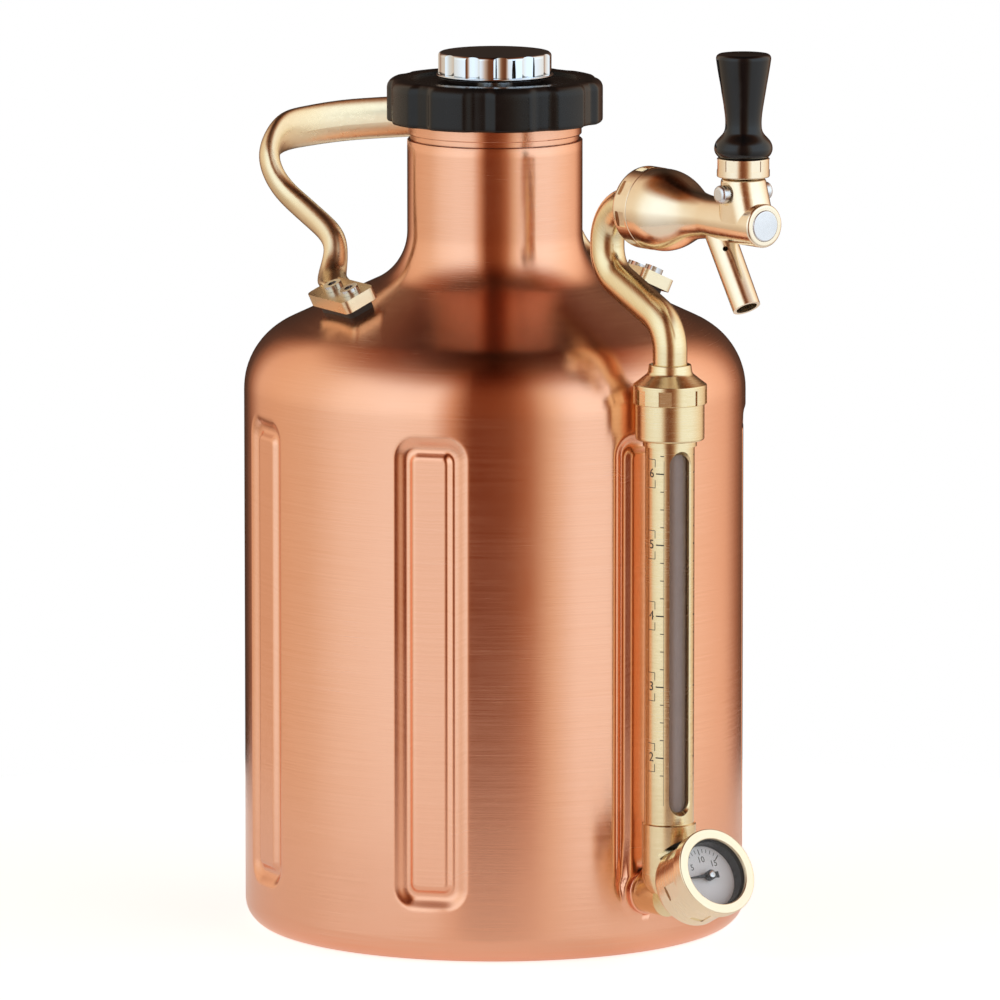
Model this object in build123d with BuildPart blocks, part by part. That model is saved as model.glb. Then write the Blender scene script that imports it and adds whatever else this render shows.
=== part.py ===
from build123d import *
import math
import os

# Pressurised beer growler, millimetres, +Z up, front (tap side) toward -Y.
# The origin is the centre of the base underside, on the axis of the vessel.

os.makedirs("parts", exist_ok=True)

# ---- vessel -------------------------------------------------------------
BODY_R = 85.7
SHELL_WALL = 1.2
BASE_CORNER_R = 9.0
SLOPE_DEG = 25.2
SHOULDER_Z = 200.9
SHOULDER_R = 25.0
NECK_R = 29.9
NECK_CORNER_Z = 227.1
NECK_BLEND_R = 19.0
NECK_TOP_Z = 270.6
BASE_HOLE_R = 71.0
BASE_PLATE_R = 75.0
BASE_PLATE_T = 1.0
INNER_R = 80.0
INNER_WALL = 1.0
INNER_FLOOR_Z = 8.0
INNER_CORNER_R = 10.0
INNER_GAP = 5.7
INNER_NECK_R = 26.5
MOUTH_R = 25.5
MOUTH_TOP_Z = 287.0
GROOVE_R = 28.9
GROOVE_TOP_Z = 272.4
LIP_R = 29.6
LIP_TOP_Z = 276.3
THREAD_CREST_R = 30.4
THREAD_T = 1.6
THREAD_PITCH = 4.4
THREAD_TURNS = 2
PANEL_COUNT = 7
PANEL_W = 26.3
PANEL_H = 161.7
PANEL_Z = 98.9
PANEL_EDGE_D = 84.69
PANEL_FLOOR_D = 83.3
PANEL_SLOPE_W = 4.4
PANEL_RAISED_W = 13.6
PANEL_RAISED_H = 149.0
PANEL_RAISED_D = 84.8
PANEL_CORNER_R = 6.0

# ---- liquid port, manifold, sight tube ----------------------------------
TUBE_Y = -98.4
PORT_Z = 22.6
PORT_R = 6.0
PORT_BORE_R = 3.0
PORT_IN_Y = -72.0
PORT_OUT_Y = -92.5
PORT_TRIM_R = 7.8
PORT_BOSS_R = 9.0
PORT_BOSS_D = 85.9
MANIFOLD_R = 9.1
MANIFOLD_BALL_Z = 30.5
MANIFOLD_TOP_Z = 48.2
MANIFOLD_STUB_R = 6.9
TUBE_R = 8.35
TUBE_BORE_R = 6.5
TUBE_TOP_Z = 188.0
SLOT_W = 7.4
SLOT_FRAME = 1.5
SLOT_BOTTOM_Z = 52.4
SLOT_TOP_Z = 174.0
SLOT_YAW = -9.0
GLASS_R = 6.2
GLASS_BORE_R = 4.6
GLASS_BOTTOM_Z = 42.0
GLASS_TOP_Z = 184.0
SEAL_T = 1.5

# ---- union nut and gooseneck --------------------------------------------
NUT_FOOT_Z = 176.3
NUT_FOOT_TOP_Z = 178.3
NUT_BARREL_R = 11.6
NUT_BARREL_TOP_Z = 190.6
NUT_RING_R = 12.4
NUT_RING_TOP_Z = 197.0
NUT_TOP_R = 7.1
NUT_TOP_Z = 203.8
NOTCH_DEPTH = 0.7
GOOSE_R = 5.8
GOOSE_BORE_R = 4.0
GOOSE_BACK_Y = -63.5
GOOSE_LOW_Z = 216.8
GOOSE_HIGH_Z = 232.1

# ---- tap ------------------------------------------------------------------
TAP_Z = 255.5
SHANK_BACK_Y = -83.0
SHANK_FRONT_Y = -91.8
SHANK_R = 13.9
TAP_BORE_R = 5.5
TAP_CHAMBER_R = 4.2
TAP_SEAT_Y = -115.3
TAP_CHAMBER_Y = -116.9
TAP_FRONT_Y = -150.0
BARREL_R = 7.3
BARREL_BACK_Y = -128.6
TOWER_Y = -138.1
TOWER_R = 7.35
TOWER_TOP_Z = 270.7
SPOUT_START_Y = -122.2
SPOUT_LEAN_DEG = 32.4
SPOUT_LENGTH = 33.6
SPOUT_R = 5.0
SPOUT_TIP_R = 4.75
SPOUT_BORE_R = 3.6
SPOUT_BORE_START = 4.6
VENT_R = 0.9
PIVOT_Z = 265.5
PIVOT_R = 1.6
PIVOT_HEAD_R = 3.1
PIVOT_FIT = 0.05
LEVER_SLOT_W = 6.4
LEVER_T = 6.0
PLUG_R = 5.2
SHAFT_LAND_R = 4.12
SHAFT_SLOT_L = 4.1
SHAFT_SLOT_H = 7.6
SHAFT_FLARE_L = 6.8
SHAFT_FLARE_H = 4.0
SHAFT_LAND_Y = -129.8
SHAFT_STEM_R = 1.6
COLLAR_R = 8.8
COLLAR_TOP_Z = 277.2
HANDLE_TOP_Z = 312.0
STEM_R = 2.5

# ---- pressure gauge -------------------------------------------------------
GAUGE_Y = -125.1
GAUGE_Z = 35.2
GAUGE_TILT_DEG = 27.0
CASE_R = 13.6
CASE_BACK = -18.5
CASE_BORE_R = 11.7
BEZEL_R = 15.0
BEZEL_HOLE_R = 11.5

# ---- carrying handle ------------------------------------------------------
HANDLE_YAW = -9.3
FOOT_X = 54.9
FOOT_Y = 2.6
FOOT_L = 28.3
FOOT_W = 12.8
FOOT_T = 4.4
PAD_T = 2.6
SCREW_PITCH = 12.5
SCREW_HEAD_R = 3.2

# ---- cap and regulator ----------------------------------------------------
CAP_R = 36.8
CAP_BOTTOM_Z = 276.5
CAP_TOP_Z = 291.5
CAP_LOBES = 10
CAP_WEB_Z = 287.6
CAP_BORE_R = 31.7
KNOB_R = 19.3
KNOB_BOTTOM_Z = 291.8
KNOB_TOP_Z = 300.4
KNOB_FLUTES = 12
REG_R = 23.0
REG_BOTTOM_Z = 272.0
SLEEVE_R = 14.6
SLEEVE_BORE_R = 13.2
SLEEVE_BOTTOM_Z = 168.0
CARTRIDGE_R = 10.9

GAP = 0.05


def rounded_path(points):
    """Lines through the points (u, v, corner radius), with round corners."""
    here = Vector(points[0][0], points[0][1])
    for index in range(1, len(points)):
        corner = Vector(points[index][0], points[index][1])
        radius = points[index][2]
        if radius > 0 and index + 1 < len(points):
            ahead = Vector(points[index + 1][0], points[index + 1][1])
            back_dir = (here - corner).normalized()
            ahead_dir = (ahead - corner).normalized()
            half = math.radians(back_dir.get_angle(ahead_dir)) / 2
            reach = radius / math.tan(half)
            start = corner + back_dir * reach
            end = corner + ahead_dir * reach
            middle_dir = (back_dir + ahead_dir).normalized()
            middle = corner + middle_dir * (radius / math.sin(half) - radius)
            Line((here.X, here.Y), (start.X, start.Y))
            ThreePointArc((start.X, start.Y), (middle.X, middle.Y), (end.X, end.Y))
            here = end
        else:
            Line((here.X, here.Y), (corner.X, corner.Y))
            here = corner


def turned(points, mode=Mode.ADD):
    """A closed (radius, height, corner radius) outline turned about Z."""
    with BuildSketch(Plane.XZ) as outline:
        with BuildLine():
            rounded_path(points + [points[0]])
        make_face()
    revolve(outline.sketch, axis=Axis.Z, mode=mode)


def side_plane(y):
    """Plane across the tap axis at the given Y, facing the front."""
    return Plane(origin=(0, y, TAP_Z), x_dir=(1, 0, 0), z_dir=(0, -1, 0))


def gauge_plane(offset):
    """Plane across the gauge axis, offset along it from the bezel front."""
    tilt = math.radians(GAUGE_TILT_DEG)
    out = Vector(0, -math.cos(tilt), math.sin(tilt))
    start = Vector(0, GAUGE_Y, GAUGE_Z) + out * offset
    return Plane(origin=start, x_dir=(1, 0, 0), z_dir=out)


def ring_prism(plane, outer, inner, length):
    """A plain ring on a plane, run along its normal."""
    with BuildSketch(plane) as ring:
        Circle(outer)
        if inner > 0:
            Circle(inner, mode=Mode.SUBTRACT)
    extrude(ring.sketch, amount=length)


def slope_height(radius, drop):
    """Height of the conical shoulder at a radius, lowered square to it."""
    run = math.tan(math.radians(SLOPE_DEG))
    level = NECK_CORNER_Z - (radius - NECK_R) * run
    return level - drop / math.cos(math.radians(SLOPE_DEG))


# ---- outer shell with its stamped panels ----------------------------------
OUTLINE = [
    (0, 0, 0),
    (BODY_R, 0, BASE_CORNER_R),
    (BODY_R, SHOULDER_Z, SHOULDER_R),
    (NECK_R, NECK_CORNER_Z, NECK_BLEND_R),
    (NECK_R, NECK_TOP_Z, 0),
    (0, NECK_TOP_Z, 0),
]
HOLLOW_R = BODY_R - SHELL_WALL
HOLLOW_NECK_R = NECK_R - SHELL_WALL
HOLLOW = [
    (0, SHELL_WALL, 0),
    (HOLLOW_R, SHELL_WALL, BASE_CORNER_R - SHELL_WALL),
    (HOLLOW_R, slope_height(HOLLOW_R, SHELL_WALL), SHOULDER_R - SHELL_WALL),
    (HOLLOW_NECK_R, slope_height(HOLLOW_NECK_R, SHELL_WALL), NECK_BLEND_R + SHELL_WALL),
    (HOLLOW_NECK_R, NECK_TOP_Z, 0),
    (0, NECK_TOP_Z, 0),
]


def panel_plane(angle, distance):
    """Upright plane at a distance from the axis, facing outward."""
    turn = math.radians(angle)
    out = Vector(math.sin(turn), -math.cos(turn), 0)
    along = Vector(math.cos(turn), math.sin(turn), 0)
    start = out * distance + Vector(0, 0, PANEL_Z)
    return Plane(origin=start, x_dir=along, z_dir=out)


def panel_recess(angle, grow, mode):
    """The sloping recess of one stamped panel, grown for the inside."""
    deep_w = PANEL_W - 2 * PANEL_SLOPE_W + 2 * grow
    deep_h = PANEL_H - 2 * PANEL_SLOPE_W + 2 * grow
    wide_w = PANEL_W + 2 * grow
    wide_h = PANEL_H + 2 * grow
    with BuildSketch(panel_plane(angle, PANEL_FLOOR_D - grow)) as deep:
        RectangleRounded(deep_w, deep_h, PANEL_CORNER_R)
    with BuildSketch(panel_plane(angle, PANEL_EDGE_D - grow)) as wide:
        RectangleRounded(wide_w, wide_h, PANEL_CORNER_R + PANEL_SLOPE_W)
    loft([deep.sketch, wide.sketch], mode=mode)
    extrude(wide.sketch, amount=3.0 + grow, mode=mode)


PANEL_ANGLES = [index * 360.0 / PANEL_COUNT for index in range(PANEL_COUNT)]

with BuildPart() as shell_cavity:
    turned(HOLLOW)
    for angle in PANEL_ANGLES:
        panel_recess(angle, SHELL_WALL, Mode.SUBTRACT)

with BuildPart() as outer_shell:
    turned(OUTLINE)
    for angle in PANEL_ANGLES:
        panel_recess(angle, 0.0, Mode.SUBTRACT)
    for angle in PANEL_ANGLES:
        with BuildSketch(panel_plane(angle, PANEL_FLOOR_D - 0.4)):
            RectangleRounded(PANEL_RAISED_W + 1.6, PANEL_RAISED_H + 1.6, 3.6)
        with BuildSketch(panel_plane(angle, PANEL_RAISED_D)):
            RectangleRounded(PANEL_RAISED_W - 1.8, PANEL_RAISED_H - 1.8, 2.4)
        loft()
    with BuildSketch(Plane.XZ.offset(PANEL_FLOOR_D - 0.8)):
        with Locations((0, PORT_Z)):
            Circle(PORT_BOSS_R)
    extrude(amount=PORT_BOSS_D - PANEL_FLOOR_D + 0.8)
    add(shell_cavity.part, mode=Mode.SUBTRACT)
    with Locations((0, 0, SHELL_WALL / 2)):
        Cylinder(BASE_HOLE_R, SHELL_WALL * 2, mode=Mode.SUBTRACT)
    with BuildSketch(Plane.XZ.offset(PANEL_FLOOR_D - 6)):
        with Locations((0, PORT_Z)):
            Circle(PORT_R + 0.3)
    extrude(amount=12, mode=Mode.SUBTRACT)

with BuildPart() as base_plate:
    with Locations((0, 0, SHELL_WALL + BASE_PLATE_T / 2)):
        Cylinder(BASE_PLATE_R, BASE_PLATE_T)

with BuildPart() as vacuum_button:
    with Locations((0, 0, SHELL_WALL - 0.4)):
        Cylinder(7.0, 0.8)

with BuildPart() as inner_vessel:
    turned([
        (0, INNER_FLOOR_Z, 0),
        (INNER_R, INNER_FLOOR_Z, INNER_CORNER_R),
        (INNER_R, slope_height(INNER_R, INNER_GAP), SHOULDER_R - INNER_GAP),
        (INNER_NECK_R, slope_height(INNER_NECK_R, INNER_GAP), NECK_BLEND_R + 3.0),
        (INNER_NECK_R, NECK_TOP_Z, 0),
        (MOUTH_R, NECK_TOP_Z, 0),
        (MOUTH_R, slope_height(MOUTH_R, INNER_GAP + INNER_WALL), NECK_BLEND_R + 4.0),
        (INNER_R - INNER_WALL, slope_height(INNER_R - INNER_WALL, INNER_GAP + INNER_WALL),
         SHOULDER_R - INNER_GAP - INNER_WALL),
        (INNER_R - INNER_WALL, INNER_FLOOR_Z + INNER_WALL, INNER_CORNER_R - INNER_WALL),
        (0, INNER_FLOOR_Z + INNER_WALL, 0),
    ])
    with BuildSketch(Plane.XZ.offset(INNER_R - 6)):
        with Locations((0, PORT_Z)):
            Circle(PORT_R + 0.1)
    extrude(amount=12, mode=Mode.SUBTRACT)

with BuildPart() as mouth_ring:
    turned([
        (MOUTH_R, NECK_TOP_Z, 0),
        (GROOVE_R, NECK_TOP_Z, 0),
        (GROOVE_R, GROOVE_TOP_Z, 0),
        (LIP_R, GROOVE_TOP_Z, 0.4),
        (LIP_R, LIP_TOP_Z, 0.4),
        (GROOVE_R, LIP_TOP_Z, 0),
        (GROOVE_R, MOUTH_TOP_Z, 0.8),
        (MOUTH_R, MOUTH_TOP_Z, 0.8),
    ])
    for turn in range(THREAD_TURNS):
        base = LIP_TOP_Z + 2.4 + turn * THREAD_PITCH
        turned([
            (GROOVE_R - 0.5, base, 0),
            (THREAD_CREST_R, base + 0.4, 0),
            (THREAD_CREST_R, base + THREAD_T - 0.4, 0),
            (GROOVE_R - 0.5, base + THREAD_T, 0),
        ])

# ---- port through both walls ------------------------------------------------
with BuildPart() as port_fitting:
    ring_prism(Plane.XZ.offset(-PORT_IN_Y), PORT_R, PORT_BORE_R, PORT_IN_Y - PORT_OUT_Y)
    with BuildSketch(Plane.XZ.offset(74.9)):
        RegularPolygon(9.0, 6)
        Circle(PORT_R - 0.5, mode=Mode.SUBTRACT)
    extrude(amount=2.0)
port_fitting.part = port_fitting.part.moved(Location((0, 0, PORT_Z)))

with BuildPart() as port_seals:
    with BuildSketch(Plane.XZ.offset(76.9)):
        with Locations((0, PORT_Z)):
            Circle(7.9)
            Circle(PORT_R + GAP, mode=Mode.SUBTRACT)
    extrude(amount=1.5)

with BuildPart() as port_trim:
    with BuildSketch(Plane.XZ.offset(PORT_BOSS_D + GAP)):
        with Locations((0, PORT_Z)):
            Circle(PORT_TRIM_R)
            Circle(PORT_R + GAP, mode=Mode.SUBTRACT)
    extrude(amount=1.4)
    fillet(port_trim.faces().sort_by(Axis.Y)[0].edges(), 0.5)

# ---- manifold -----------------------------------------------------------------
with BuildPart() as lower_manifold:
    with Locations((0, TUBE_Y, (MANIFOLD_BALL_Z + MANIFOLD_TOP_Z) / 2)):
        Cylinder(MANIFOLD_R, MANIFOLD_TOP_Z - MANIFOLD_BALL_Z)
    with Locations((0, TUBE_Y, MANIFOLD_BALL_Z)):
        Sphere(MANIFOLD_R)
    with BuildSketch(Plane.XZ.offset(PORT_BOSS_D + 1.5)):
        with Locations((0, PORT_Z)):
            Circle(MANIFOLD_STUB_R)
    extrude(amount=-TUBE_Y - PORT_BOSS_D - 1.5)
    with BuildSketch(gauge_plane(CASE_BACK - 3.0)):
        Circle(8.6)
    extrude(amount=6.0)
    chamfer(lower_manifold.edges().filter_by(GeomType.CIRCLE).sort_by(Axis.Z)[-1], 0.4)
    with BuildSketch(gauge_plane(CASE_BACK - GAP)):
        Circle(CASE_R + 1.6)
    extrude(amount=30, mode=Mode.SUBTRACT)
    with BuildSketch(gauge_plane(CASE_BACK - 6.0)):
        Circle(3.5 + GAP)
    extrude(amount=8, mode=Mode.SUBTRACT)
    with BuildSketch(Plane.XY.offset(PORT_Z)):
        with Locations((0, TUBE_Y)):
            Circle(PORT_BORE_R)
    extrude(amount=30, mode=Mode.SUBTRACT)
    with BuildSketch(Plane.XY.offset(GLASS_BOTTOM_Z - SEAL_T)):
        with Locations((0, TUBE_Y)):
            Circle(GLASS_R + 0.2)
    extrude(amount=12, mode=Mode.SUBTRACT)
    with BuildSketch(Plane.XZ.offset(PANEL_RAISED_D)):
        with Locations((0, PORT_Z)):
            Circle(PORT_R + GAP)
    extrude(amount=-PORT_OUT_Y - PANEL_RAISED_D + 0.2, mode=Mode.SUBTRACT)
    with BuildSketch(Plane.XZ.offset(PANEL_RAISED_D)):
        with Locations((0, PORT_Z)):
            Circle(PORT_BORE_R)
    extrude(amount=-TUBE_Y - PANEL_RAISED_D, mode=Mode.SUBTRACT)

# ---- sight tube, glass and seals ------------------------------------------------
with BuildPart() as sight_tube:
    with BuildSketch(Plane.XY.offset(MANIFOLD_TOP_Z)):
        with Locations((0, TUBE_Y)):
            Circle(TUBE_R)
            Circle(TUBE_BORE_R, mode=Mode.SUBTRACT)
    extrude(amount=TUBE_TOP_Z - MANIFOLD_TOP_Z)
    slot_turn = math.radians(SLOT_YAW)
    slot_out = Vector(math.sin(slot_turn), -math.cos(slot_turn), 0)
    slot_along = Vector(math.cos(slot_turn), math.sin(slot_turn), 0)
    slot_mid = Vector(0, TUBE_Y, (SLOT_BOTTOM_Z + SLOT_TOP_Z) / 2)
    slot_l = SLOT_TOP_Z - SLOT_BOTTOM_Z
    with BuildSketch(Plane(slot_mid, x_dir=slot_along, z_dir=slot_out)):
        SlotOverall(slot_l, SLOT_W, rotation=90)
    extrude(amount=TUBE_R + 2, mode=Mode.SUBTRACT)
    frame_start = slot_mid + slot_out * (TUBE_R - 1.5)
    with BuildSketch(Plane(frame_start, x_dir=slot_along, z_dir=slot_out)):
        SlotOverall(slot_l, SLOT_W, rotation=90)
    frame_end = slot_mid + slot_out * (TUBE_R + 0.5)
    with BuildSketch(Plane(frame_end, x_dir=slot_along, z_dir=slot_out)):
        SlotOverall(slot_l + 2 * SLOT_FRAME, SLOT_W + 2 * SLOT_FRAME, rotation=90)
    loft(mode=Mode.SUBTRACT)

with BuildPart() as sight_glass:
    with BuildSketch(Plane.XY.offset(GLASS_BOTTOM_Z)):
        with Locations((0, TUBE_Y)):
            Circle(GLASS_R)
            Circle(GLASS_BORE_R, mode=Mode.SUBTRACT)
    extrude(amount=GLASS_TOP_Z - GLASS_BOTTOM_Z)

with BuildPart() as glass_seals:
    for level in (GLASS_BOTTOM_Z - SEAL_T, GLASS_TOP_Z):
        with BuildSketch(Plane.XY.offset(level)):
            with Locations((0, TUBE_Y)):
                Circle(GLASS_R)
                Circle(GLASS_BORE_R - 1.0, mode=Mode.SUBTRACT)
        extrude(amount=SEAL_T)

with BuildPart() as union_seal:
    with BuildSketch(Plane.XY.offset(TUBE_TOP_Z)):
        with Locations((0, TUBE_Y)):
            Circle(7.6)
            Circle(GOOSE_BORE_R, mode=Mode.SUBTRACT)
    extrude(amount=SEAL_T)

FLANGE_Z = TUBE_TOP_Z + SEAL_T
FLANGE_T = 2.4
NUT_BORE_R = TUBE_R + 0.15

with BuildPart() as union_nut:
    with BuildSketch(Plane.XZ):
        with BuildLine():
            rounded_path([
                (NUT_BORE_R, NUT_FOOT_Z, 0),
                (MANIFOLD_R, NUT_FOOT_Z, 0),
                (MANIFOLD_R, NUT_FOOT_TOP_Z, 0),
                (NUT_BARREL_R, NUT_FOOT_TOP_Z, 0.8),
                (NUT_BARREL_R, NUT_BARREL_TOP_Z, 0),
                (NUT_RING_R, NUT_BARREL_TOP_Z, 0.3),
                (NUT_RING_R, NUT_RING_TOP_Z, 0.6),
                (NUT_RING_R - 1.6, NUT_RING_TOP_Z + 1.2, 1.0),
                (NUT_TOP_R + 0.4, NUT_TOP_Z - 3.0, 2.0),
                (NUT_TOP_R, NUT_TOP_Z, 0.5),
                (GOOSE_R + 0.1, NUT_TOP_Z, 0),
                (GOOSE_R + 0.1, FLANGE_Z + FLANGE_T + GAP, 0),
                (NUT_BORE_R, FLANGE_Z + FLANGE_T + GAP, 0),
                (NUT_BORE_R, NUT_FOOT_Z, 0),
            ])
        make_face()
    revolve(axis=Axis.Z)
    ring_mid = (NUT_BARREL_TOP_Z + NUT_RING_TOP_Z) / 2 - 0.5
    with Locations((0, 0, ring_mid)):
        with PolarLocations(NUT_RING_R, 8):
            Box(2 * NOTCH_DEPTH, 4.4, 5.0, mode=Mode.SUBTRACT)
union_nut.part = union_nut.part.moved(Location((0, TUBE_Y, 0)))

with BuildPart() as gooseneck:
    with BuildLine(Plane.YZ) as goose_line:
        rounded_path([
            (TUBE_Y, FLANGE_Z, 0),
            (TUBE_Y, GOOSE_LOW_Z, 13.0),
            (GOOSE_BACK_Y, GOOSE_HIGH_Z, 12.0),
            (GOOSE_BACK_Y, TAP_Z, 14.0),
            (SHANK_FRONT_Y + 3.5, TAP_Z, 0),
        ])
    with BuildSketch(Plane.XY.offset(FLANGE_Z)) as goose_round:
        with Locations((0, TUBE_Y)):
            Circle(GOOSE_R)
    sweep(goose_round.sketch, path=goose_line.wires()[0])
    with BuildSketch(Plane.XY.offset(FLANGE_Z)) as goose_flange:
        with Locations((0, TUBE_Y)):
            Circle(7.9)
    extrude(goose_flange.sketch, amount=FLANGE_T)
    ring_prism(side_plane(SHANK_FRONT_Y + 5.5), 8.8, 0, 2.0)
    with BuildSketch(Plane.XY.offset(FLANGE_Z)) as goose_bore:
        with Locations((0, TUBE_Y)):
            Circle(GOOSE_BORE_R)
    sweep(goose_bore.sketch, path=goose_line.wires()[0], mode=Mode.SUBTRACT)

# ---- tap ---------------------------------------------------------------------
with BuildPart() as shank_seal:
    ring_prism(side_plane(SHANK_FRONT_Y + 3.5), 8.8, GOOSE_BORE_R, 1.4)

with BuildPart() as shank_nut:
    with BuildSketch(Plane.YZ):
        with BuildLine():
            rounded_path([
                (SHANK_BACK_Y, TAP_Z + GOOSE_R + 0.15, 0),
                (SHANK_BACK_Y, TAP_Z + SHANK_R, 2.6),
                (SHANK_FRONT_Y, TAP_Z + SHANK_R, 0.4),
                (SHANK_FRONT_Y, TAP_Z + 9.0, 0),
                (SHANK_FRONT_Y + 5.5 + GAP, TAP_Z + 9.0, 0),
                (SHANK_FRONT_Y + 5.5 + GAP, TAP_Z + GOOSE_R + 0.15, 0),
                (SHANK_BACK_Y, TAP_Z + GOOSE_R + 0.15, 0),
            ])
        make_face()
    revolve(axis=Axis((0, 0, TAP_Z), (0, 1, 0)))
    with Locations(side_plane((SHANK_BACK_Y + SHANK_FRONT_Y) / 2 - 0.8)):
        with PolarLocations(SHANK_R, 8, start_angle=12):
            Box(2 * NOTCH_DEPTH, 5.2, 4.4, mode=Mode.SUBTRACT)

BELL = [
    (-96.2, 13.8),
    (-102.3, 12.4),
    (-108.0, 9.9),
    (-112.5, 8.3),
    (-119.6, 7.25),
    (BARREL_BACK_Y, 7.2),
]

with BuildPart() as tap_body:
    with BuildSketch(Plane.YZ):
        with BuildLine():
            Line((SHANK_FRONT_Y, TAP_Z), (SHANK_FRONT_Y, TAP_Z + SHANK_R - 0.1))
            bell_points = [(SHANK_FRONT_Y, TAP_Z + SHANK_R - 0.1)]
            bell_points += [(y, TAP_Z + r) for y, r in BELL]
            Spline(bell_points, tangents=[(-1, 0), (-1, 0)])
            Line((BARREL_BACK_Y, TAP_Z + 7.2), (BARREL_BACK_Y, TAP_Z))
            Line((BARREL_BACK_Y, TAP_Z), (SHANK_FRONT_Y, TAP_Z))
        make_face()
    revolve(axis=Axis((0, 0, TAP_Z), (0, 1, 0)))
    ring_prism(side_plane(BARREL_BACK_Y + 2.0), BARREL_R, 0, BARREL_BACK_Y + 2.0 - TAP_FRONT_Y)
    barrel_rim = tap_body.edges().filter_by(GeomType.CIRCLE).sort_by(Axis.Y)[0]
    fillet(barrel_rim, 1.0)
    with BuildSketch(Plane.XY.offset(TAP_Z + 0.5)):
        with Locations((0, (BARREL_BACK_Y - 1.2 + TAP_FRONT_Y + 0.3) / 2)):
            RectangleRounded(2 * BARREL_R, BARREL_BACK_Y - 1.2 - TAP_FRONT_Y - 0.3, 6.4)
    with BuildSketch(Plane.XY.offset(TOWER_TOP_Z)):
        with Locations((0, TOWER_Y)):
            RectangleRounded(2 * TOWER_R, 2 * TOWER_R, TOWER_R - 0.1)
    loft()
    fillet(tap_body.faces().sort_by(Axis.Z)[-1].edges(), 1.6)
    spout_lean = math.radians(SPOUT_LEAN_DEG)
    spout_dir = Vector(0, -math.sin(spout_lean), -math.cos(spout_lean))
    spout_start = Vector(0, SPOUT_START_Y, TAP_Z)
    with BuildSketch(Plane(spout_start, x_dir=(1, 0, 0), z_dir=spout_dir)):
        Circle(SPOUT_R)
    with BuildSketch(Plane(spout_start + spout_dir * SPOUT_LENGTH, x_dir=(1, 0, 0), z_dir=spout_dir)):
        Circle(SPOUT_TIP_R)
    loft()
    ring_prism(side_plane(SHANK_FRONT_Y + 2.1), 8.6, 0, 2.6)
    with BuildSketch(side_plane(SHANK_FRONT_Y + 3.0)):
        Circle(TAP_BORE_R)
    extrude(amount=SHANK_FRONT_Y + 3.0 - TAP_SEAT_Y, mode=Mode.SUBTRACT)
    with BuildSketch(side_plane(TAP_SEAT_Y + 1.0)):
        Circle(2.9)
    extrude(amount=4.0, mode=Mode.SUBTRACT)
    with BuildSketch(side_plane(TAP_CHAMBER_Y)):
        Circle(TAP_CHAMBER_R)
    extrude(amount=TAP_CHAMBER_Y - TAP_FRONT_Y + 1.0, mode=Mode.SUBTRACT)
    with BuildSketch(side_plane(TAP_FRONT_Y + 3.0)):
        Circle(PLUG_R + GAP)
    extrude(amount=4.0, mode=Mode.SUBTRACT)
    with BuildSketch(Plane(spout_start + spout_dir * SPOUT_BORE_START, x_dir=(1, 0, 0), z_dir=spout_dir)):
        Circle(SPOUT_BORE_R)
    extrude(amount=SPOUT_LENGTH, mode=Mode.SUBTRACT)
    with Locations((0, TOWER_Y, (TAP_Z - 3.4 + TOWER_TOP_Z + 1) / 2)):
        Box(LEVER_SLOT_W, 9.4, TOWER_TOP_Z + 1 - TAP_Z + 3.4, mode=Mode.SUBTRACT)
    with BuildSketch(Plane.YZ.offset(-12)):
        with Locations((TOWER_Y, PIVOT_Z)):
            Circle(PIVOT_R)
    extrude(amount=24, mode=Mode.SUBTRACT)
    for side in (-1, 1):
        with BuildSketch(Plane.YZ.offset(side * 6.2)):
            with Locations((TOWER_Y, PIVOT_Z)):
                Circle(PIVOT_HEAD_R + 0.7)
        extrude(amount=side * 6.0, mode=Mode.SUBTRACT)
    vent_spot = spout_start + spout_dir * 12.5
    with BuildSketch(Plane(vent_spot, x_dir=(1, 0, 0), z_dir=(-0.62, -0.72, 0.3))):
        Circle(VENT_R)
    extrude(amount=7.0, mode=Mode.SUBTRACT)

with BuildPart() as pivot_pin:
    with BuildSketch(Plane.YZ.offset(-6.4)):
        with Locations((TOWER_Y, PIVOT_Z)):
            Circle(PIVOT_R - PIVOT_FIT)
    extrude(amount=12.8)
    for side in (-1, 1):
        with BuildSketch(Plane.YZ.offset(side * 6.25)):
            with Locations((TOWER_Y, PIVOT_Z)):
                Circle(PIVOT_HEAD_R)
        extrude(amount=side * 4.4)
    ends = pivot_pin.faces().filter_by(Axis.X).group_by(Axis.X)
    fillet(ends[0].edges() + ends[-1].edges(), 1.4)

with BuildPart() as front_plug:
    ring_prism(side_plane(TAP_FRONT_Y + 3.0 - GAP), PLUG_R, 0, 3.3)
    fillet(front_plug.edges().filter_by(GeomType.CIRCLE).sort_by(Axis.Y)[0], 0.5)
    ring_prism(side_plane(TAP_FRONT_Y + 4.4), TAP_CHAMBER_R - GAP, 0, 1.4 + GAP)

with BuildPart() as valve_shaft:
    ring_prism(side_plane(TAP_SEAT_Y + 4.5), 4.6, 0, 2.0)
    ring_prism(side_plane(TAP_SEAT_Y + 2.6), SHAFT_STEM_R, 0, 19.0)
    ring_prism(side_plane(SHAFT_LAND_Y), SHAFT_LAND_R, 0, 14.2)
    with Locations((0, TOWER_Y, TAP_Z + 1.0)):
        Box(3 * SHAFT_LAND_R, SHAFT_SLOT_L, SHAFT_SLOT_H, mode=Mode.SUBTRACT)
    with Locations((0, TOWER_Y, TAP_Z + 1.0 + SHAFT_FLARE_H / 2)):
        Box(3 * SHAFT_LAND_R, SHAFT_FLARE_L, SHAFT_FLARE_H, mode=Mode.SUBTRACT)

with BuildPart() as valve_washer:
    ring_prism(side_plane(TAP_SEAT_Y + 2.5), 4.4, SHAFT_STEM_R, 2.4)

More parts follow.
